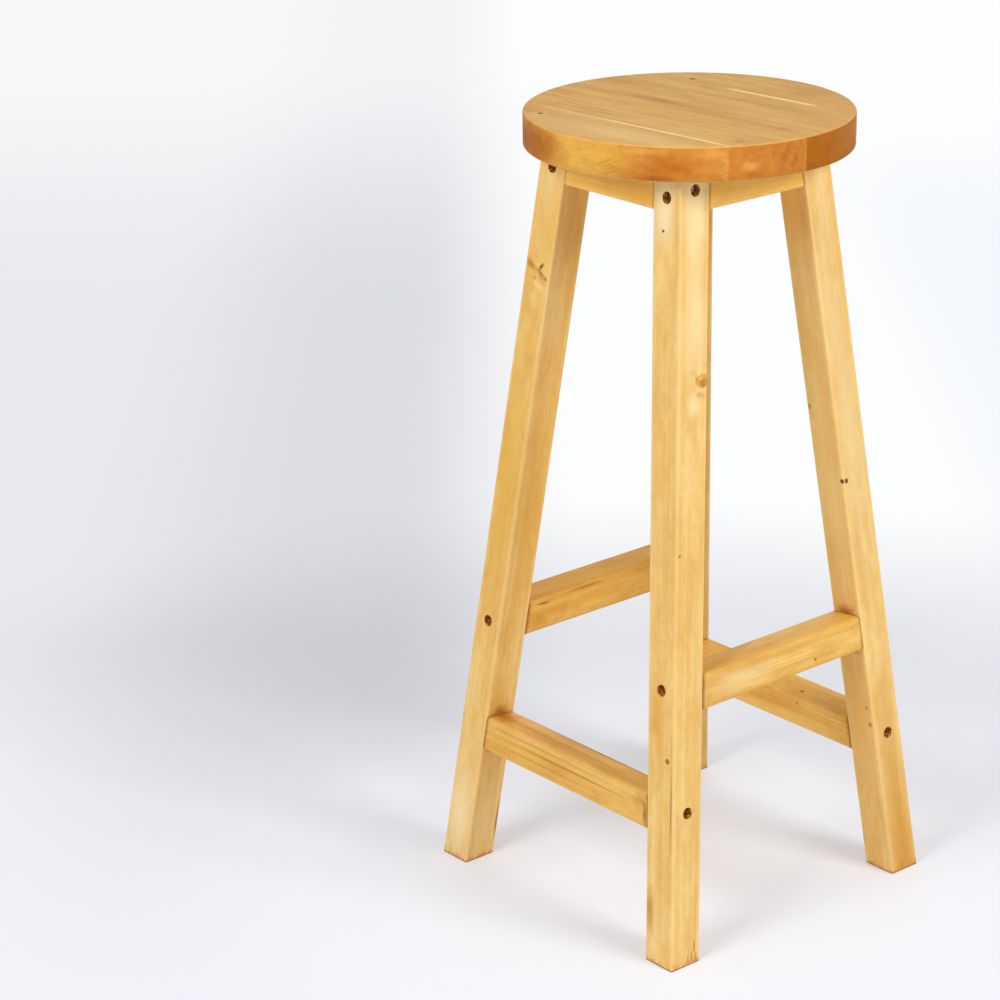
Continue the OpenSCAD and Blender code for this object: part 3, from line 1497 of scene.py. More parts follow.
        return [core, neck, pointed, g.moved(thread, Translation=at_tip)]


# ---- bench work


@dataclass(frozen=True)
class Step:
    """One geometry node tree and the values of its inputs."""

    tree: NodeTree
    values: dict[str, Any]


class Bench:
    """Runs trees and modifiers on a start mesh, and hands over plain finished pieces."""

    @staticmethod
    def link(name: str, data: Any) -> Object:
        """Puts a mesh, lamp or camera in the scene.

        Args:
            name: The name of its object.
            data: The mesh, lamp or camera.

        Returns:
            The object.
        """
        made = bpy.data.objects.new(name, data)
        bpy.context.scene.collection.objects.link(made)
        return made

    @classmethod
    def places(cls, name: str, places: Sequence[Place]) -> Object:
        """Makes an object whose points are screw places.

        Args:
            name: The object's name.
            places: The screw places.

        Returns:
            The object, with each place's aim on its points.
        """
        mesh = bpy.data.meshes.new(name)
        mesh.from_pydata([place.at for place in places], [], [])
        aims = mesh.attributes.new(AIM, "FLOAT_VECTOR", "POINT")
        for n, place in enumerate(places):
            aims.data[n].vector = place.aim
        return cls.link(name, mesh)

    @classmethod
    def make(
        cls, stock: str, node: str, slot: str, start: Object, steps: Sequence[Step], ease: float = 0
    ) -> None:
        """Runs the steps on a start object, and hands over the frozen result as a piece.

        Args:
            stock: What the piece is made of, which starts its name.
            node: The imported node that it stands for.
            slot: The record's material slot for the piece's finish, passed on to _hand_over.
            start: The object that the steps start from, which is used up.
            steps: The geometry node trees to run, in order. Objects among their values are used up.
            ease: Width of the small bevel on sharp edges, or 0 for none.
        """
        for step in steps:
            modifier = start.modifiers.new(step.tree.name, "NODES")
            modifier.node_group = step.tree
            sockets = step.tree.interface.items_tree
            named = {i.name: i.identifier for i in sockets if i.in_out == "INPUT"}
            for key, value in step.values.items():
                modifier[named[key]] = value
        if ease:
            bevel = start.modifiers.new("ease", "BEVEL")
            bevel.width = ease
            bevel.segments = 2
            bevel.limit_method = "ANGLE"
            bevel.angle_limit = EASED_PAST
            bevel.use_clamp_overlap = True
            start.modifiers.new("flat_faces", "WEIGHTED_NORMAL").keep_sharp = True
        depsgraph = bpy.context.evaluated_depsgraph_get()
        mesh = bpy.data.meshes.new_from_object(start.evaluated_get(depsgraph), depsgraph=depsgraph)
        mesh.name = f"{stock}_{node}"
        cls._hand_over(cls.link(f"{stock}_{node}", mesh), node, slot)
        helpers = [v for step in steps for v in step.values.values() if isinstance(v, Object)]
        for used in (start, *helpers):
            bpy.data.objects.remove(used)

    @staticmethod
    def _hand_over(piece: Object, node: str, slot: str) -> None:
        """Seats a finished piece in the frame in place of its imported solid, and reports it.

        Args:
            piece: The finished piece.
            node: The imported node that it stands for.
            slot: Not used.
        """
        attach(piece, BODY)
        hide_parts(node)
        log.info("%s: %d faces, for %s", piece.name, len(piece.data.polygons), node)


@dataclass
class Workshop:
    """What every sub-assembly needs: the sizes, the screws, the trees and the shared effects."""

    sizes: StoolSizes
    plan: ScrewPlan
    joinery: Joinery
    effects: Effects
    steel: Material
    bored: Material

    def drilling(self, places: Sequence[Place], length: float, bore: float) -> Step:
        """Gives the step that drills a blank for the screws at some places.

        Args:
            places: Where the screws go.
            length: The screws' length.
            bore: How far the counterbore is cut out from the head's seat.

        Returns:
            The step.
        """
        return Step(
            self.joinery.bore,
            {
                "Places": Bench.places("drill_places", places),
                "Hole Radius": self.plan.shank_r + self.plan.room,
                "Hole Length": length + POINT_ROOM + DRILL_OVER,
                "Bore Radius": self.plan.bore_r,
                "Bore Length": bore,
                "Bored Wood": self.bored,
            },
        )

    def leg_drilling(self, places: Sequence[Place]) -> Step:
        """Drills for leg screws, whose counterbores are cut past the legs' faces."""
        bore = self.plan.bore_depth + self.sizes.leg_w / 2
        return self.drilling(places, self.plan.leg_screw_l, bore)

    def seat_drilling(self, places: Sequence[Place]) -> Step:
        """Drills for seat screws, whose counterbores are cut past the aprons' undersides."""
        return self.drilling(places, self.plan.seat_screw_l, self.plan.apron_h)


# ---- charts of the sawn pieces


# How each board was sawn, and its marks, from the front to the back.
GLUE = "#F1D8A2"
SHADE = "#B07A3A"
BOARD_CUTS = {
    "front": Cut(
        pith=(-104, -58),
        seed=1.3,
        knots=(Knot((-107, 0, -82.4), (2.3, 6, 3.4), 0.95, 0.35, 1.2, "#5C3C14", "#C8924C"),),
        stains=(
            Stain((-108.5, 0, -78), (4.5, 6, 14), "#EBCB8C", 0.4, 0.9),
            Stain((-88, 0, -60), (3.4, 6, 46), "#EBCB8C", 0.4, 0.9),
            Stain((-116, 0, 10), (46, 6, 170), "#E6C68C", 0.34, 1, 0.4),
            Stain((-93, 0, 60), (4, 6, 60), SHADE, 0.3),
        ),
        seams=(Seam(-85.6, 2, -40, 132, GLUE, 0.75),),
        rim_colour="#CF8636",
        rim_patches=(
            RimPatch(-111, 17, 28, 27, "#AC6008", 0.9),
            RimPatch(-128, 18, 14, 24, "#924800", 0.85),
            RimPatch(-104, 7, 8, 8, "#B4661C", 0.5),
            RimPatch(-97, 26, 7, 8, "#DC9E3E", 0.5),
            RimPatch(-79, 14, 14, 24, "#E6AC46", 0.75),
            *(
                RimPatch(-76 + 1.8 * n, 17 + 1.7 * n, 0.9, 17, "#B87420", 0.42, 66, 1, 0.5)
                for n in range(7)
            ),
            RimPatch(-54, 18, 13, 16, "#BC6616", 0.8),
            RimPatch(-59, 29, 9, 5, "#AA5014", 0.7),
            RimPatch(-63, 5, 12, 5, "#E8AC50"),
            RimPatch(-40, 6, 8, 7, "#E6A64C", 0.55),
            RimPatch(-34, 18, 8, 18, "#E2A24A", 0.55),
        ),
    ),
    "front_middle": Cut(
        pith=(-52, -34),
        seed=4.1,
        tone=1.02,
        stains=(
            Stain((-9, 0, 112), (9, 8, 27), SHADE, 0.6),
            Stain((-14, 0, -30), (10, 8, 60), "#B87F3C", 0.3),
            Stain((-66, 0, 119), (9, 8, 11), "#B0742F", 0.55),
            Stain((-73, 0, 60), (1.5, 8, 70), SHADE, 0.55, 0.9),
            Stain((-79, 0, 30), (1.2, 8, 60), SHADE, 0.45, 0.9),
            Stain((-52, 0, -50), (8, 8, 70), "#E8C488", 0.35),
        ),
        seams=(
            Seam(-84, 2.2, -40, 132, GLUE, 0.75),
            Seam(-84, 2.4, -118, -20, "#EBCC90", 0.6),
        ),
        rim_colour="#C87E30",
        rim_patches=(
            RimPatch(-27, 19, 5, 6, "#EBB056"),
            RimPatch(-26, 27, 5, 4, "#B9661E"),
            RimPatch(-14, 13, 2, 16, "#A85E1C", 0.6, tilt=24),
            RimPatch(-10, 18, 1.8, 14, "#A85E1C", 0.5, tilt=20),
            RimPatch(-18, 8, 1.6, 10, "#B0682A", 0.5, tilt=24),
            RimPatch(-5.6, 16, 0.8, 20, "#E0A04A", 0.3),
        ),
    ),
    "back_middle": Cut(
        pith=(34, 40),
        seed=7.7,
        tone=0.98,
        stains=(
            Stain((3, 0, -40), (11, 8, 56), "#B56C26", 0.75),
            Stain((6, 0, -10), (17, 8, 100), "#C6873E", 0.45),
            Stain((-4, 0, 52), (1.6, 8, 46), "#A86E28", 0.5, 0.9, 0.5, (0, -2.5, 0)),
            Stain((-5, 0, 90), (4.5, 8, 44), "#B47A36", 0.5, 1, 0.5, (0, -2.5, 0)),
            Stain((-3, 0, -110), (2.2, 8, 36), "#B07434", 0.5, 0.9),
            Stain((-6, 0, 118), (9, 8, 24), "#B4763A"),
            Stain((70, 0, -40), (6, 8, 30), "#C28844", 0.4),
        ),
        seams=(Seam(80.8, 2, -30, 82, "#F2D89E", 0.9, blur=12),),
        rim_colour="#A96410",
        rim_patches=(
            RimPatch(6, 14, 4, 20, "#AC5A18"),
            RimPatch(22, 12, 8, 18, "#A9641E"),
            RimPatch(30, 24, 6, 8, "#9A5414", 0.5),
        ),
    ),
    "back": Cut(
        pith=(126, -46),
        seed=9.2,
        tone=0.98,
        knots=(Knot((90.2, 0, -78.2), (2.7, 6, 4.2), 0.95, 0.35, 1.2, "#4A2C0C", "#C48C48"),),
        stains=(
            Stain((94, 0, -92), (6, 8, 26), "#EBCB8C", 0.35),
            Stain((84.5, 0, -60), (5, 8, 24), "#BE7E36"),
            Stain((114, 0, 36), (14, 8, 26), "#C8843A", 0.45),
            Stain((88, 0, 40), (2, 8, 50), "#B9783A", 0.4, 0.9),
        ),
        seams=(Seam(83, 1.8, -30, 82, "#F2D89E", 0.85, blur=12),),
        rim_colour="#C07A30",
    ),
}

# How each leg was sawn, and its marks. Its faces are FACE from its middle, and Z is up the leg.
FACE = 17.5
LEG_CUTS = {
    Quarter.FRONT_LEFT: Cut(
        pith=(34, 24),
        seed=2.2,
        warmth=0.16,
        knots=(Knot((3, -FACE, 604), (6, 12, 6), 0.1, 0, 5, "#B87C30"),),
        stains=(
            Stain((-9.8, -FACE, 608), (6, 6, 12.5), "#BC7A22", 0.9, 1, 0.8, (0, -60, 0)),
            Stain((-8.4, -FACE, 601), (5.5, 6, 4), "#E9CF7C", 0.55, 1, 0.8),
            Stain((-1.9, -FACE, 597), (3.2, 4, 2.4), "#B4852E", 0.7, 1, 0.9),
            Stain((2.6, -FACE, 591.4), (12, 6, 4.4), "#F7DC98", 0.7, 1, 0.9, (0, 17, 0)),
            Stain((-1, -FACE, 577), (8, 6, 14), "#F5D792", 0.5, 1, 0.6),
            Stain((6, -FACE, 600), (6, 4, 13), "#C0882E", 0.6, 1, 0.8, (0, -40, 0)),
            Stain((4.4, -FACE, 609.6), (2.6, 3, 6.4), "#5A2C00", 0.9, 0.8, 1.5, (0, 36, 0)),
            Stain((6.2, -FACE, 603), (2.4, 3, 11.8), "#9A5C00", 0.8, 0.95, 1.5, (0, -68, 0)),
            Stain((11.8, -FACE, 599.6), (3.8, 3, 3), "#9C6410", 0.7, 0.95, 1.1),
            Stain((0, -FACE, 690), (18, 6, 50), "#F5DC9C"),
            # Painted shade: darker orange at the top of the inner +X face, under the seat.
            Stain((FACE, 0, 665), (8, 20, 80), "#C8862C", 0.4, 1, 0.4),
            Stain((0, -FACE, 390), (22, 6, 170), "#DFA838", 0.55, 1, 0.4),
            Stain((FACE, 0, 390), (6, 22, 190), "#DDA234", 0.45, 1, 0.4),
            Stain((0, -FACE, 40), (24, 8, 76), "#FBE3AE", 0.8),
            Stain((FACE, 0, 40), (4, 24, 80), "#F4D49A"),
            Stain((FACE, 15.4, 40), (4, 2.6, 32), "#8A5216", 0.75, 0.9, 1),
        ),
    ),
    Quarter.FRONT_RIGHT: Cut(
        pith=(-22, 31),
        seed=5.4,
        knots=(
            Knot((-4.2, -FACE, 673.6), (1.8, 4, 1.5), 0.95, 0, 0.5, "#642E00"),
            Knot((8.6, -FACE, 195), (3.5, 5, 3.1), 0.85, 0.2, 2, "#93560E", "#C98F3E"),
            Knot((FACE, 11.2, 541), (6.6, 8.2, 6.8), 0.85, 0.4, 4, "#CC983E", "#D2A456"),
            Knot((FACE, 13, 539), (4, 5, 4.4), 0.85, 0, 0, "#B6791E"),
            Knot((FACE, 9.2, 543.4), (4, 2.6, 1.7), 0.6, 0, 0, "#EAC678"),
            Knot((FACE, -13.4, 385.4), (4, 1.4, 1.5), 0.75, 0, 0.8, "#7A5220"),
        ),
        stains=(
            Stain((FACE, 8.4, 529), (3, 8, 3.6), "#C89640", 0.7, 1, 0.9),
            Stain((FACE, 3.4, 546.4), (3, 2.4, 10), "#CC9A48", 0.75, 1, 0.9, (35, 0, 0)),
            Stain((FACE, 3.4, 536), (3, 1.6, 6), "#D9AE60", 0.6, 1, 0.9, (-30, 0, 0)),
            Stain((FACE, 0, 520), (6, 10, 16), "#FDE8B6", 0.6, 1, 0.7),
            # The next four pale patches are painted light: a highlight up the +X face, and light
            # that stands in for the seat's shade round the top of the leg.
            Stain((FACE, 2, 600), (8, 18, 110), "#FBDFA6", 0.6, 1, 0.4),
            Stain((FACE, 0, 690), (8, 22, 64), "#FFE6AC", 0.75, 1, 0.4),
            Stain((0, 0, 726), (44, 44, 38), "#FFF2B8", 0.95, 1, 0.3),
            Stain((-4, -FACE, 690), (20, 8, 46), "#FBE9BC", 0.8, 1, 0.6),
            Stain((-5, -FACE, 238), (13, 6, 56), "#E29E38", 0.6, 1, 0.7),
            Stain((-9, -FACE, 560), (5, 8, 80), "#DDAE58"),
            Stain((2, -FACE, 520), (4, 8, 24), "#DDB264", 0.5, 1, 0.7),
            Stain((FACE - 3.6, -FACE, 150), (1.9, 6, 62), "#AE6C1C", 0.75, 0.9, 0.4),
            Stain((14, -FACE, 210), (1.6, 5, 24), "#B98C40", 0.5, 0.9, 0.4),
            Stain((-9, -FACE, 225), (9, 8, 16), "#D69A44", 0.5, 1, 0.6),
            Stain((-12.6, -FACE, 48), (9, 6, 34), "#C88A30", 0.8, 0.9, 0.8),
            Stain((FACE, 10.4, 15), (4, 1.3, 9), "#965810", 0.8, 0.9, 0.9),
            Stain((FACE, 7.4, 6), (4, 1.6, 8), "#9E5E14", 0.75, 0.9, 0.9),
            Stain((FACE, 3, 4), (4, 1.6, 7), "#A86818", 0.7, 0.9, 0.9),
            Stain((FACE, 13, 5), (4, 1.6, 7), "#A05E12", 0.7, 0.9, 0.9),
        ),
    ),
    # Its low tone is painted shade: it darkens the whole leg, whose seen face lies in the seat's
    # shade.
    Quarter.BACK_LEFT: Cut(pith=(30, -26), seed=8.8, tone=0.77, warmth=0.12),
    Quarter.BACK_RIGHT: Cut(
        pith=(-36, -14),
        seed=11.5,
        knots=(
            Knot((FACE, -12.8, 407.5), (4, 2.3, 2.5), 0.95, 0, 0.4, "#5E2C02"),
            Knot((FACE, -18.2, 408.2), (4, 2.7, 2.5), 0.95, 0, 0.4, "#5E2C02"),
            Knot((10.9, -FACE, 175.6), (1.8, 4, 1.9), 0.5, 0, 0.8, "#A06A22"),
            Knot((12.9, -FACE, 158.8), (2.4, 4, 2.2), 0.65, 0, 0.8, "#9A6018"),
            Knot((-13.6, -FACE, 478), (2.2, 4, 3.2), 0.6, 0.3, 1, "#A06618", "#C99A50"),
        ),
        stains=(
            Stain((FACE, 4, 10), (28, 24, 60), "#D9963C", 0.5, 0.9),
            Stain((-16.6, -FACE, 30), (2.2, 3, 8), "#6E3C0C", 0.8, 0.9, 0.8),
            Stain((FACE, 0, 50), (24, 26, 240), "#CE9030", 0.75, 1, 0.3),
            Stain((-4, -FACE, 670), (24, 8, 90), "#F6B044", 0.5, 1, 0.4),
            Stain((0, -FACE, 180), (24, 8, 160), "#F4B858", 0.5, 1, 0.4),
            Stain((FACE, 0, 500), (8, 24, 300), "#E4C892", 0.5, 1, 0.4),
            Stain((0, -FACE, 420), (24, 8, 280), "#FACF80", 0.5, 1, 0.4),
            Stain((FACE, 4, 604), (6, 8, 14), "#DDB468", 0.4, 1, 0.7),
        ),
    ),
}


# ---- sub-assemblies


@dataclass
class Seat:
    """The round seat: four boards glued edge to edge along the grain."""

    shop: Workshop
    radius: float = 150 * MM
    seams: Span = (-85 * MM, -13 * MM, 82 * MM)
    turn: float = math.radians(4)
    centre: Pair = (2 * MM, 3 * MM)
    ease: float = 2.4 * MM
    ease_steps: int = 5
    seam_ease: float = 0.12 * MM
    end_ease: float = 0.1 * MM
    arc_step: float = math.radians(1.5)

    def build(self) -> None:
        """Builds and dresses the four boards."""
        edges = [-self.radius, *self.seams, self.radius]
        places = [self.shop.plan.apron(side) for side in Side]
        for n, (label, cut) in enumerate(BOARD_CUTS.items()):
            node = f"seat_board_{label}"
            low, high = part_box(node)
            inside = [p for p in places if low.x < p.at.x < high.x and low.y < p.at.y < high.y]
            steps = [self.shop.seat_drilling(inside)] if inside else []
            start = Bench.link("board_blank", self._blank(edges[n], edges[n + 1]))
            finish = SEAT_WOOD.material(f"{node}_wood", self.shop.effects, self._axes(), cut)
            start.data.materials.append(finish)
            Bench.make("pine", node, SEAT_WOOD.slot, start, steps, self.end_ease)

    def _axes(self) -> Axes:
        """Gives the boards' axes.

        Returns:
            The axes, whose width runs to the back and grain to the right.
        """
        turned = Matrix.Rotation(self.turn, 3, "Z")
        middle = Vector((*self.centre, self.shop.sizes.seat_h))
        return Axes(middle, turned @ Vector((0, 1, 0)), Vector((0, 0, 1)))

    def _outline(self, front: float, back: float, radius: float, seam: float) -> list[Pair]:
        """Gives a board's outline at one level of its rim.

        Args:
            front: Place of its front edge, across the seat.
            back: Place of its back edge.
            radius: The rim's radius at this level.
            seam: How far the glued edges are eased at this level.

        Returns:
            Its points, round from the front of the right arc.
        """
        low = front + seam if front > -self.radius else -radius
        high = back - seam if back < self.radius else radius
        first = math.asin(max(-1, low / radius))
        last = math.asin(min(1, high / radius))
        full_first = math.asin(max(-1, front / self.radius))
        full_last = math.asin(min(1, back / self.radius))
        count = max(6, round((full_last - full_first) / self.arc_step))
        angles = [first + (last - first) * k / count for k in range(count + 1)]
        right = [(radius * math.cos(a), radius * math.sin(a)) for a in angles]
        left = [(-x, y) for x, y in reversed(right)]
        if back >= self.radius:
            left = left[1:]
        if front <= -self.radius:
            left = left[:-1]
        return right + left

    def _blank(self, front: float, back: float) -> Mesh:
        """Stacks a board's outlines into a solid with rounded rims.

        Args:
            front: Place of its front edge, across the seat.
            back: Place of its back edge.

        Returns:
            The board's mesh, in its place under no turn but the seat's own.
        """
        thick = self.shop.sizes.seat_h - self.shop.sizes.leg_h
        quarter = [math.pi / 2 * k / self.ease_steps for k in range(self.ease_steps + 1)]
        levels = [(self.ease * (1 - math.sin(a)), self.ease * (1 - math.cos(a))) for a in quarter]
        levels += [(inset, thick - up) for inset, up in reversed(levels)]
        solid = bmesh.new()
        rings = []
        for inset, up in levels:
            seam = self.seam_ease * inset / self.ease
            outline = self._outline(front, back, self.radius - inset, seam)
            rings.append([solid.verts.new((x, y, self.shop.sizes.leg_h + up)) for x, y in outline])
        for lower, upper in zip(rings, rings[1:]):
            for k in range(len(lower)):
                after = (k + 1) % len(lower)
                solid.faces.new((lower[k], lower[after], upper[after], upper[k]))
        solid.faces.new(list(reversed(rings[0])))
        solid.faces.new(rings[-1])
        for face in solid.faces:
            face.smooth = True
        bmesh.ops.recalc_face_normals(solid, faces=solid.faces)
        for edge in solid.edges:
            edge.smooth = edge.calc_face_angle(0) < BOARD_CREASE
        place = Matrix.Translation((*self.centre, 0)) @ Matrix.Rotation(self.turn, 4, "Z")
        solid.transform(place)
        mesh = bpy.data.meshes.new("board_blank")
        solid.to_mesh(mesh)
        solid.free()
        return mesh


@dataclass
class Legs:
    """The four square legs, which lean in on both axes."""

    shop: Workshop
    arris: float = 1.6 * MM
    arris_steps: int = 5
    stretcher_h: float = 34.0 * MM
    end_ease: float = 0.3 * MM

    def build(self) -> None:
        """Builds and dresses the four legs."""
        for quarter, cut in LEG_CUTS.items():
            self._leg(quarter, replace(cut, stains=cut.stains + self._pooled(quarter)))

    def _pooled(self, quarter: Quarter) -> tuple[Stain, ...]:
        """Gives painted shade in the corners above and below a leg's two stretchers.

        Args:
            quarter: Which leg.

        Returns:
            Its stains.
        """
        s = self.shop.sizes
        i, j = quarter.value
        stains = []
        for middle, centre, size in (
            (s.cross_z, (-FACE * i, 0), (4, 17)),
            (s.side_z, (0, -FACE * j), (17, 4)),
        ):
            for side in (-1, 1):
                z = (middle + side * self.stretcher_h / 2) / MM / math.cos(s.lean) + side * 2
                # A dark brown patch of painted shade in each corner.
                stains.append(Stain((*centre, z), (*size, 8 + side * 3), "#AE620A", 0.8, 1, 1.2))
        return tuple(stains)

    def _leg(self, quarter: Quarter, cut: Cut) -> None:
        """Builds and dresses one leg.

        Args:
            quarter: Which leg.
            cut: How it was sawn, and its marks.
        """
        s = self.shop.sizes
        i, j = quarter.value
        node = f"leg_{quarter.label}"
        foot = Vector((i * s.middle(0), j * s.middle(0), 0))
        lean = Vector((-i * s.slope, -j * s.slope, 0))
        finish = LEG_WOOD.material(
            f"{node}_wood", self.shop.effects, self._axes(foot, lean), cut, (s.leg_w, s.leg_w)
        )
        shape = Step(
            self.shop.joinery.leg,
            {
                "Section": s.leg_w,
                "Arris": self.arris,
                "Arris Steps": self.arris_steps,
                "Height": s.leg_h,
                "Lean": lean,
                "Foot": foot,
                "Material": finish,
            },
        )
        start = Bench.link("leg_start", bpy.data.meshes.new("leg_start"))
        steps = [shape, self.shop.leg_drilling(self.shop.plan.leg(quarter))]
        Bench.make("pine", node, LEG_WOOD.slot, start, steps, self.end_ease)

    @staticmethod
    def _axes(foot: Vector, lean: Vector) -> Axes:
        """Gives a leg's axes.

        Args:
            foot: The middle of its foot.
            lean: How far it leans for each metre up.

        Returns:
            The axes, whose width runs along X and grain up the leg.
        """
        grain = Vector((lean.x, lean.y, 1)).normalized()
        width = (Vector((1, 0, 0)) - grain * grain.x).normalized()
        return Axes(foot, width, grain.cross(width))


@dataclass
class Rails:
    """Four rails between the legs: the apron frame, or the stretchers of the footrest."""

    shop: Workshop
    kind: str
    finish: WoodFinish
    screw_rows: tuple[int, int]
    height: float = 34 * MM
    inset: float = 0.5 * MM
    line: float = 0.8
    line_reach: float = 4.6
    arris: float = 3.0 * MM
    arris_steps: int = 5
    end_ease: float = 0.12 * MM

    @property
    def depth(self) -> float:
        """Depth of a rail from its outer to its inner face."""
        return self.shop.sizes.leg_w * math.cos(self.shop.sizes.lean) - 2 * self.inset

    def centre_z(self, side: Side) -> float:
        """Height of the middle of a rail's outer face."""
        raise NotImplementedError

    def corners(self) -> tuple[list[Vector], float]:
        """Gives the section of a rail.

        Returns:
            Its corners, and the height above which they stay square.
        """
        half_d = self.depth / 2
        half_h = self.height / 2
        signs = [(-1, -1), (1, -1), (1, 1), (-1, 1)]
        return [Vector((i * half_d, j * half_h, 0)) for i, j in signs], 1

    def cut(self, side: Side) -> Cut:
        """Gives how one rail was sawn, and its marks."""
        raise NotImplementedError

    def build(self) -> None:
        """Builds and dresses the four rails."""
        for side in Side:
            self._rail(side)

    def _rail(self, side: Side) -> None:
        """Builds and dresses one rail.

        Args:
            side: Which side of the stool it is on.
        """
        s = self.shop.sizes
        node = f"{self.kind}_{side.label}"
        z = self.centre_z(side)
        tilt = Matrix.Rotation(s.lean, 3, "X")
        place = Vector((0, s.outer(z), z)) + tilt @ Vector((0, -self.inset - self.depth / 2, 0))
        laid = tilt @ Euler((math.pi / 2, 0, math.pi / 2)).to_matrix()
        corners, square_above = self.corners()
        inward, up = tilt @ Vector((0, -1, 0)), tilt @ Vector((0, 0, 1))
        axes = Axes(side.turned(place), side.turned(inward), side.turned(up))
        lean = math.degrees(s.lean)
        lines = [
            Stain(
                (0, 0, end * s.inner(z) / MM),
                (90, 90, self.line_reach),
                "#8E4A0E",
                self.line,
                ragged=1.5,
                turn=(-end * lean, 0, 0),
            )
            for end in (-1, 1)
        ]
        cut = self.cut(side)
        cut = replace(cut, stains=(*cut.stains, *lines))
        section = (self.depth, self.height)
        finish = self.finish.material(f"{node}_wood", self.shop.effects, axes, cut, section)
        values = {
            **dict(zip(CORNERS, corners)),
            "Arris": self.arris,
            "Arris Steps": self.arris_steps,
            "Square Above": square_above,
            "Reach": s.half_foot,
            "Tilt": laid.to_euler(),
            "Place": place,
            "Gap At Floor": s.inner(0),
            "Gap Slope": s.slope,
            "Side Turn": Euler((0, 0, math.radians(side.value))),
            "Material": finish,
        }
        start = Bench.link("rail_start", bpy.data.meshes.new("rail_start"))
        steps = [Step(self.shop.joinery.rail, values), *self.drillings(side)]
        Bench.make("pine", node, self.finish.slot, start, steps, self.end_ease)

    def drillings(self, side: Side) -> list[Step]:
        """Gives the drilling for the leg screws that run into one rail's two ends.

        Args:
            side: Which side of the stool the rail is on.

        Returns:
            The steps.
        """
        along = side.turned(Vector((1, 0, 0)))
        legs = [self.shop.plan.leg(quarter) for quarter in side.quarters()]
        found = [leg[n] for leg in legs for n in self.screw_rows]
        return [self.shop.leg_drilling([p for p in found if abs(p.aim.dot(along)) > 0.5])]


@dataclass
class Aprons(Rails):
    """The apron frame under the seat, whose tops are planed level."""

    spare: float = 18 * MM
    line: float = 0.45
    line_reach: float = 3.2

    @property
    def blank_h(self) -> float:
        """Height of an apron before its top is planed level."""
        return self.height + self.spare

    def centre_z(self, side: Side) -> float:
        """Height of the middle of the blank's outer face."""
        s = self.shop.sizes
        return s.leg_h - self.height + self.blank_h / 2 * math.cos(s.lean)

    def corners(self) -> tuple[list[Vector], float]:
        """Gives the section of an apron, with its top on the seat's underside.

        Returns:
            Its corners, and the height above which they stay square.
        """
        s = self.shop.sizes
        half_d = self.depth / 2
        half_h = self.blank_h / 2
        top = []
        for x in (half_d, -half_d):
            rise = s.leg_h - self.centre_z(Side.BACK) - (x - self.inset - half_d) * math.sin(s.lean)
            top.append(Vector((x, rise / math.cos(s.lean), 0)))
        return [Vector((-half_d, -half_h, 0)), Vector((half_d, -half_h, 0)), *top], 0

    def drillings(self, side: Side) -> list[Step]:
        """Adds the drilling for the apron's seat screw."""
        return [*super().drillings(side), self.shop.seat_drilling([self.shop.plan.apron(side)])]

    def cut(self, side: Side) -> Cut:
        """Gives how one apron was sawn, and its marks.

        Args:
            side: Which side of the stool it is on.

        Returns:
            Its cut.
        """
        s = self.shop.sizes
        gap, tilt = s.inner(self.centre_z(side)) / MM, math.degrees(s.lean)
        return {
            Side.BACK: Cut(pith=(-28, 30), seed=21),
            Side.LEFT: Cut(pith=(40, 12), seed=23.5, warmth=0.1),
            Side.FRONT: Cut(pith=(24, -36), seed=25.1, tone=1.08, warmth=0.12),
            Side.RIGHT: Cut(
                pith=(-18, -40),
                seed=27.9,
                tone=1.08,
                warmth=0.04,
                stains=(
                    # Painted shadow: a dark wedge at the apron's back end, in the gap by the leg.
                    Stain((-17, 0, gap), (6, 60, 1.6), "#4A2400", 0.9, 0.8, 0.8, (-tilt, 0, 0)),
                ),
            ),
        }[side]


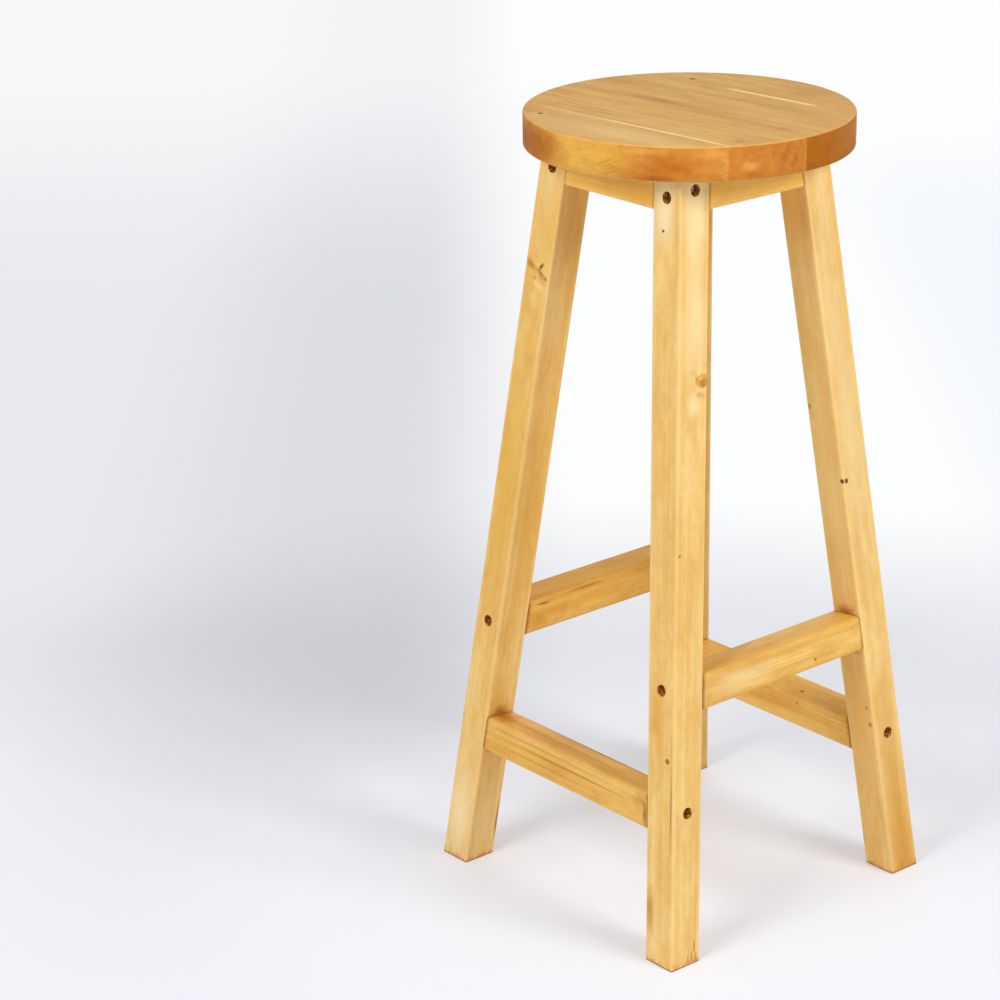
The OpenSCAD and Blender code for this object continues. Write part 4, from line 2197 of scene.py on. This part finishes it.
@dataclass
class Stretchers(Rails):
    """The stretchers of the footrest, low at the front and back and higher at the sides."""

    def centre_z(self, side: Side) -> float:
        """Height of the middle of the stretcher's outer face."""
        s = self.shop.sizes
        return s.cross_z if side.crosses else s.side_z

    def cut(self, side: Side) -> Cut:
        """Gives how one stretcher was sawn, and its marks.

        Args:
            side: Which side of the stool it is on.

        Returns:
            Its cut.
        """
        s = self.shop.sizes
        face = self.depth / 2 / MM
        top = self.height / 2 / MM
        end = s.inner(self.centre_z(side)) / MM - 3.6
        turn = (-math.degrees(s.lean), 0, 0)
        return {
            Side.BACK: Cut(
                pith=(30, 22),
                seed=31.2,
                warmth=0.1,
                knots=(
                    Knot((face - 11, top, -42), (2, 4, 2.2), 0.85, 0, 0.8, "#7A4610"),
                    Knot((face, 9.5, -45), (4, 1.9, 2.2), 0.6, 0, 0.8, "#A0661C"),
                ),
            ),
            Side.LEFT: Cut(
                pith=(-26, -30),
                seed=33.3,
                warmth=0.12,
                stains=(
                    Stain((0, top, 30), (17, 5, 110), "#EBB456", 0.4, 1, 0.6),
                    Stain((face, top - 5, 84), (4, 1.6, 10), "#70400C", 0.85, 0.9, 0.8, (-4, 0, 0)),
                    Stain((face, top - 2, 28), (4, 1.8, 34), "#A0641C", 0.7, 0.9, 0.9),
                    Stain((face, -6, 90), (4, 12, 20), "#C98426", 0.5, 1, 0.9),
                ),
            ),
            Side.FRONT: Cut(
                pith=(26, -24),
                seed=35.8,
                warmth=0.06,
                stains=(
                    Stain((-2, top, -40), (7, 5, 150), "#C47C14", 0.55, 1, 0.6),
                    Stain((-9, top, 20), (1.6, 5, 130), "#B87414", 0.6, 0.9),
                    # Painted shade: a dark line along the back edge of the top.
                    Stain((face - 2, top, 10), (3.6, 5, 170), "#985A18", 0.85, 0.9),
                    # Painted shade: a dark patch at the top's left end, by the leg.
                    Stain((0, top, -108), (18, 6, 30), "#A8641A", 0.75, 1, 1),
                    Stain((-face, 3, 10), (3, 2, 130), "#B0741A", 0.7, 1, 0.6),
                    Stain((-face, -5.5, -30), (3, 1.3, 110), "#BC7E20", 0.55, 0.9),
                    Stain((-face, 10, -20), (3, 1.2, 120), "#BC7E20", 0.5, 0.9),
                    Stain((-face, 8, 104), (4, 14, 14), "#BE7E24", 0.45, 1, 1),
                    Stain((-face, -3, end), (4, 18, 3.4), "#8E4C0C", 0.8, 1, 1.6, turn),
                ),
            ),
            Side.RIGHT: Cut(
                pith=(14, -34),
                seed=37.4,
                knots=(Knot((-face, -8.5, 41), (4, 1.9, 1.6), 0.8, 0, 0.8, "#94600E"),),
                stains=(Stain((-face, 0, -56), (4, 16, 62), "#F8DC9C", 0.6, 1, 0.9),),
            ),
        }[side]


@dataclass
class Screws:
    """The sixteen leg screws, four to a leg, and the four seat screws."""

    shop: Workshop
    recess_l: float = 5 * MM
    recess_w: float = 1.3 * MM
    recess_d: float = 1.6 * MM
    dome: float = 0.16
    seed: int = 7

    def build(self) -> None:
        """Builds and dresses every set of screws."""
        plan = self.shop.plan
        for quarter in Quarter:
            self._set(f"leg_screws_{quarter.label}", plan.leg(quarter), plan.leg_screw_l)
        self._set("seat_screws", [plan.apron(side) for side in Side], plan.seat_screw_l)

    def _set(self, node: str, places: list[Place], length: float) -> None:
        """Builds and dresses one set of screws.

        Args:
            node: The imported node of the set.
            places: Where its screws go.
            length: Their length.
        """
        plan = self.shop.plan
        values = {
            "Length": length,
            "Shank Radius": plan.shank_r,
            "Core Radius": plan.core_r,
            "Point Length": plan.point_l,
            "Pitch": plan.pitch,
            "Head Radius": plan.head_r,
            "Head Height": plan.head_h,
            "Recess Length": self.recess_l,
            "Recess Width": self.recess_w,
            "Recess Depth": self.recess_d,
            "Dome": self.dome,
            "Seed": self.seed + len(node),
            "Material": self.shop.steel,
        }
        start = Bench.places(f"{node}_places", places)
        Bench.make("steel", node, SCREW_SLOT, start, [Step(self.shop.joinery.screws, values)])


# ---- studio


@dataclass
class Studio:
    """The pale floor, the soft lamps and the camera. Distances on the floor are from the stool."""

    camera_at: Triple = (1.9485, -1.8569, 1.3657)
    yaw: float = math.radians(50.0246)
    pitch: float = math.radians(20.2152)
    roll: float = math.radians(-0.7587)
    lens: float = 109.49
    sensor: float = 36.0
    sight: float = 60.0
    lit_point: Triple = (0.0, 0.0, 0.45)
    left_lamp: Pair = (1.5, -1.5)
    left_power: float = 28.0
    right_lamp: Pair = (1.3, 1.7)
    right_power: float = 32.0
    lamp_height: float = 1.9
    lamp_side: float = 0.95
    ambient: float = 0.5
    ambient_tint: Span = (0.97, 0.98, 1.0, 1.0)
    room_white: Span = (0.985, 0.99, 1.0, 1.0)
    floor_reach: float = 9.0
    floor_fade: Pair = (0.45, 1.1)
    floor_glow: float = 0.22
    floor_gloss: float = 0.2
    near_tone: str = "#F3F5FE"
    far_tone: str = "#E9EBF3"
    tone_fade: Pair = (0.2, 0.7)
    dim_tone: str = "#CFD1D8"
    dim_right: Span = (-0.32, -0.05, 1.0, 0.0)
    dim_near: Pair = (0.12, 0.62)
    dim_left: Span = (-0.75, -0.4, 0.65, 1.0)
    dim_far: Span = (1.8, 3.8, 1.0, 0.35)
    paper: str = "#FDFEFF"
    paper_fade: Pair = (5.0, 8.0)
    dim_paper: str = "#DBDDE2"
    aside_paper: str = "#F4F7FB"
    aside_right: Pair = (0.32, 0.62)
    aside_far: Span = (2.2, 3.4, 1.0, 0.0)

    @property
    def right(self) -> Vector:
        """The way to the camera's right, along the floor."""
        return Vector((math.cos(self.yaw), math.sin(self.yaw), 0))

    @property
    def away(self) -> Vector:
        """The way from the camera past the stool, along the floor."""
        return Vector((-math.sin(self.yaw), math.cos(self.yaw), 0))

    def build(self) -> None:
        """Sets up everything round the stool."""
        self._camera()
        self._world()
        self._floor()
        for name, (near, aside), power in (
            ("left_softbox", self.left_lamp, self.left_power),
            ("right_softbox", self.right_lamp, self.right_power),
        ):
            at = self.right * aside - self.away * near
            self._softbox(name, at + Vector((0, 0, self.lamp_height)), power)

    def _camera(self) -> None:
        """Places the camera."""
        ahead = Vector(
            (
                -math.sin(self.yaw) * math.cos(self.pitch),
                math.cos(self.yaw) * math.cos(self.pitch),
                -math.sin(self.pitch),
            )
        )
        up = self.right.cross(ahead)
        rolled_right = self.right * math.cos(self.roll) + up * math.sin(self.roll)
        rolled_up = up * math.cos(self.roll) - self.right * math.sin(self.roll)
        data = bpy.data.cameras.new("camera")
        data.lens = self.lens
        data.sensor_width = self.sensor
        data.sensor_fit = "HORIZONTAL"
        data.clip_end = self.sight
        camera = Bench.link("camera", data)
        turn = Matrix((rolled_right, rolled_up, -ahead)).transposed().to_4x4()
        camera.matrix_world = Matrix.Translation(self.camera_at) @ turn
        bpy.context.scene.camera = camera

    def _world(self) -> None:
        """Makes the room plain white to the eye and in reflections, and softer light otherwise."""
        world = bpy.data.worlds.new("studio")
        bpy.context.scene.world = world
        g = Graph.on(world)
        lit = g.node("ShaderNodeBackground", {"Color": self.ambient_tint, "Strength": self.ambient})
        white = g.node("ShaderNodeBackground", {"Color": self.room_white, "Strength": 1})
        room = {0: self._seen(g), 1: lit, 2: white}
        both = g.node("ShaderNodeMixShader", room)
        g.node("ShaderNodeOutputWorld", {"Surface": both})

    @staticmethod
    def _seen(g: Graph) -> Source:
        """Tells rays that the eye meets from rays that only light the scene.

        Args:
            g: The graph that is being written.

        Returns:
            1 for rays of the eye, of reflections and through glass, and 0 for the rest.
        """
        path = g.node("ShaderNodeLightPath").outputs
        direct = g.math("MAXIMUM", path["Is Camera Ray"], path["Is Glossy Ray"])
        return g.math("MAXIMUM", direct, path["Is Transmission Ray"])

    def _floor(self) -> None:
        """Lays a pale floor that fades into the white room far from the stool, with painted grey
        shade behind it on the left.
        """
        disc = bmesh.new()
        bmesh.ops.create_circle(disc, cap_ends=True, segments=96, radius=self.floor_reach)
        mesh = bpy.data.meshes.new("floor")
        disc.to_mesh(mesh)
        disc.free()
        floor = Bench.link("floor", mesh)
        material = bpy.data.materials.new("pale_floor")
        g = Graph.on(material)
        point = g.node("ShaderNodeTexCoord").outputs["Object"]
        far = g.vector("LENGTH", point)
        share = g.times(g.fade(far, *self.floor_fade, self.floor_glow, 1), self._seen(g))
        across = g.vector("DOT_PRODUCT", point, self.right)
        behind = g.vector("DOT_PRODUCT", point, self.away)
        # Painted shade: a grey patch on the floor behind the stool and to its left.
        dim = g.times(
            g.fade(across, *self.dim_right),
            g.fade(behind, *self.dim_near),
            g.fade(across, *self.dim_left),
            g.fade(behind, *self.dim_far),
        )
        tone = g.mix(g.fade(far, *self.tone_fade), srgb(self.near_tone), srgb(self.far_tone))
        sheet = g.node(
            "ShaderNodeBsdfPrincipled",
            {
                "Base Color": g.mix(dim, tone, srgb(self.dim_tone)),
                "Roughness": g.line(g.noise(point, 40, 3), 0.1, 0.5),
                "Specular IOR Level": self.floor_gloss,
            },
        )
        white = srgb(self.paper)
        # Painted shade on the far paper too: the same grey patch, and a slightly grey band to the
        # right.
        aside = g.times(g.fade(across, *self.aside_right), g.fade(behind, *self.aside_far))
        paper = g.mix(dim, g.mix(aside, white, srgb(self.aside_paper)), srgb(self.dim_paper))
        paper = g.mix(g.fade(far, *self.paper_fade), paper, white)
        glow = g.node("ShaderNodeEmission", {"Color": paper, "Strength": 1})
        both = g.node("ShaderNodeMixShader", {0: share, 1: sheet, 2: glow})
        g.node("ShaderNodeOutputMaterial", {"Surface": both})
        mesh.materials.append(material)

    def _softbox(self, name: str, at: Vector, power: float) -> None:
        """Hangs a square lamp that faces the stool.

        Args:
            name: The lamp's name.
            at: Where it hangs.
            power: Its power in watts.
        """
        data = bpy.data.lights.new(name, "AREA")
        data.shape = "SQUARE"
        data.size = self.lamp_side
        data.energy = power
        lamp = Bench.link(name, data)
        lamp.location = at
        lamp.rotation_mode = "QUATERNION"
        lamp.rotation_quaternion = (Vector(self.lit_point) - at).to_track_quat("-Z", "Y")


def main() -> None:
    """Builds the stool, piece by piece, and the studio round it."""
    logging.basicConfig(level=logging.INFO, format="%(name)s: %(message)s")
    bpy.context.scene.view_settings.view_transform = "Standard"
    Studio().build()
    sizes = StoolSizes.from_frame()
    plan = ScrewPlan(sizes)
    effects = Effects()
    shop = Workshop(
        sizes=sizes,
        plan=plan,
        joinery=Joinery(),
        effects=effects,
        steel=STEEL.material(effects, plan.leg(Quarter.FRONT_RIGHT)[1].at),
        bored=BORE.material(effects),
    )
    Seat(shop).build()
    Legs(shop).build()
    Aprons(shop, "apron", APRON_WOOD, (0, 1)).build()
    Stretchers(shop, "stretcher", RAIL_WOOD, (2, 3)).build()
    Screws(shop).build()


if __name__ == "__main__":
    main()
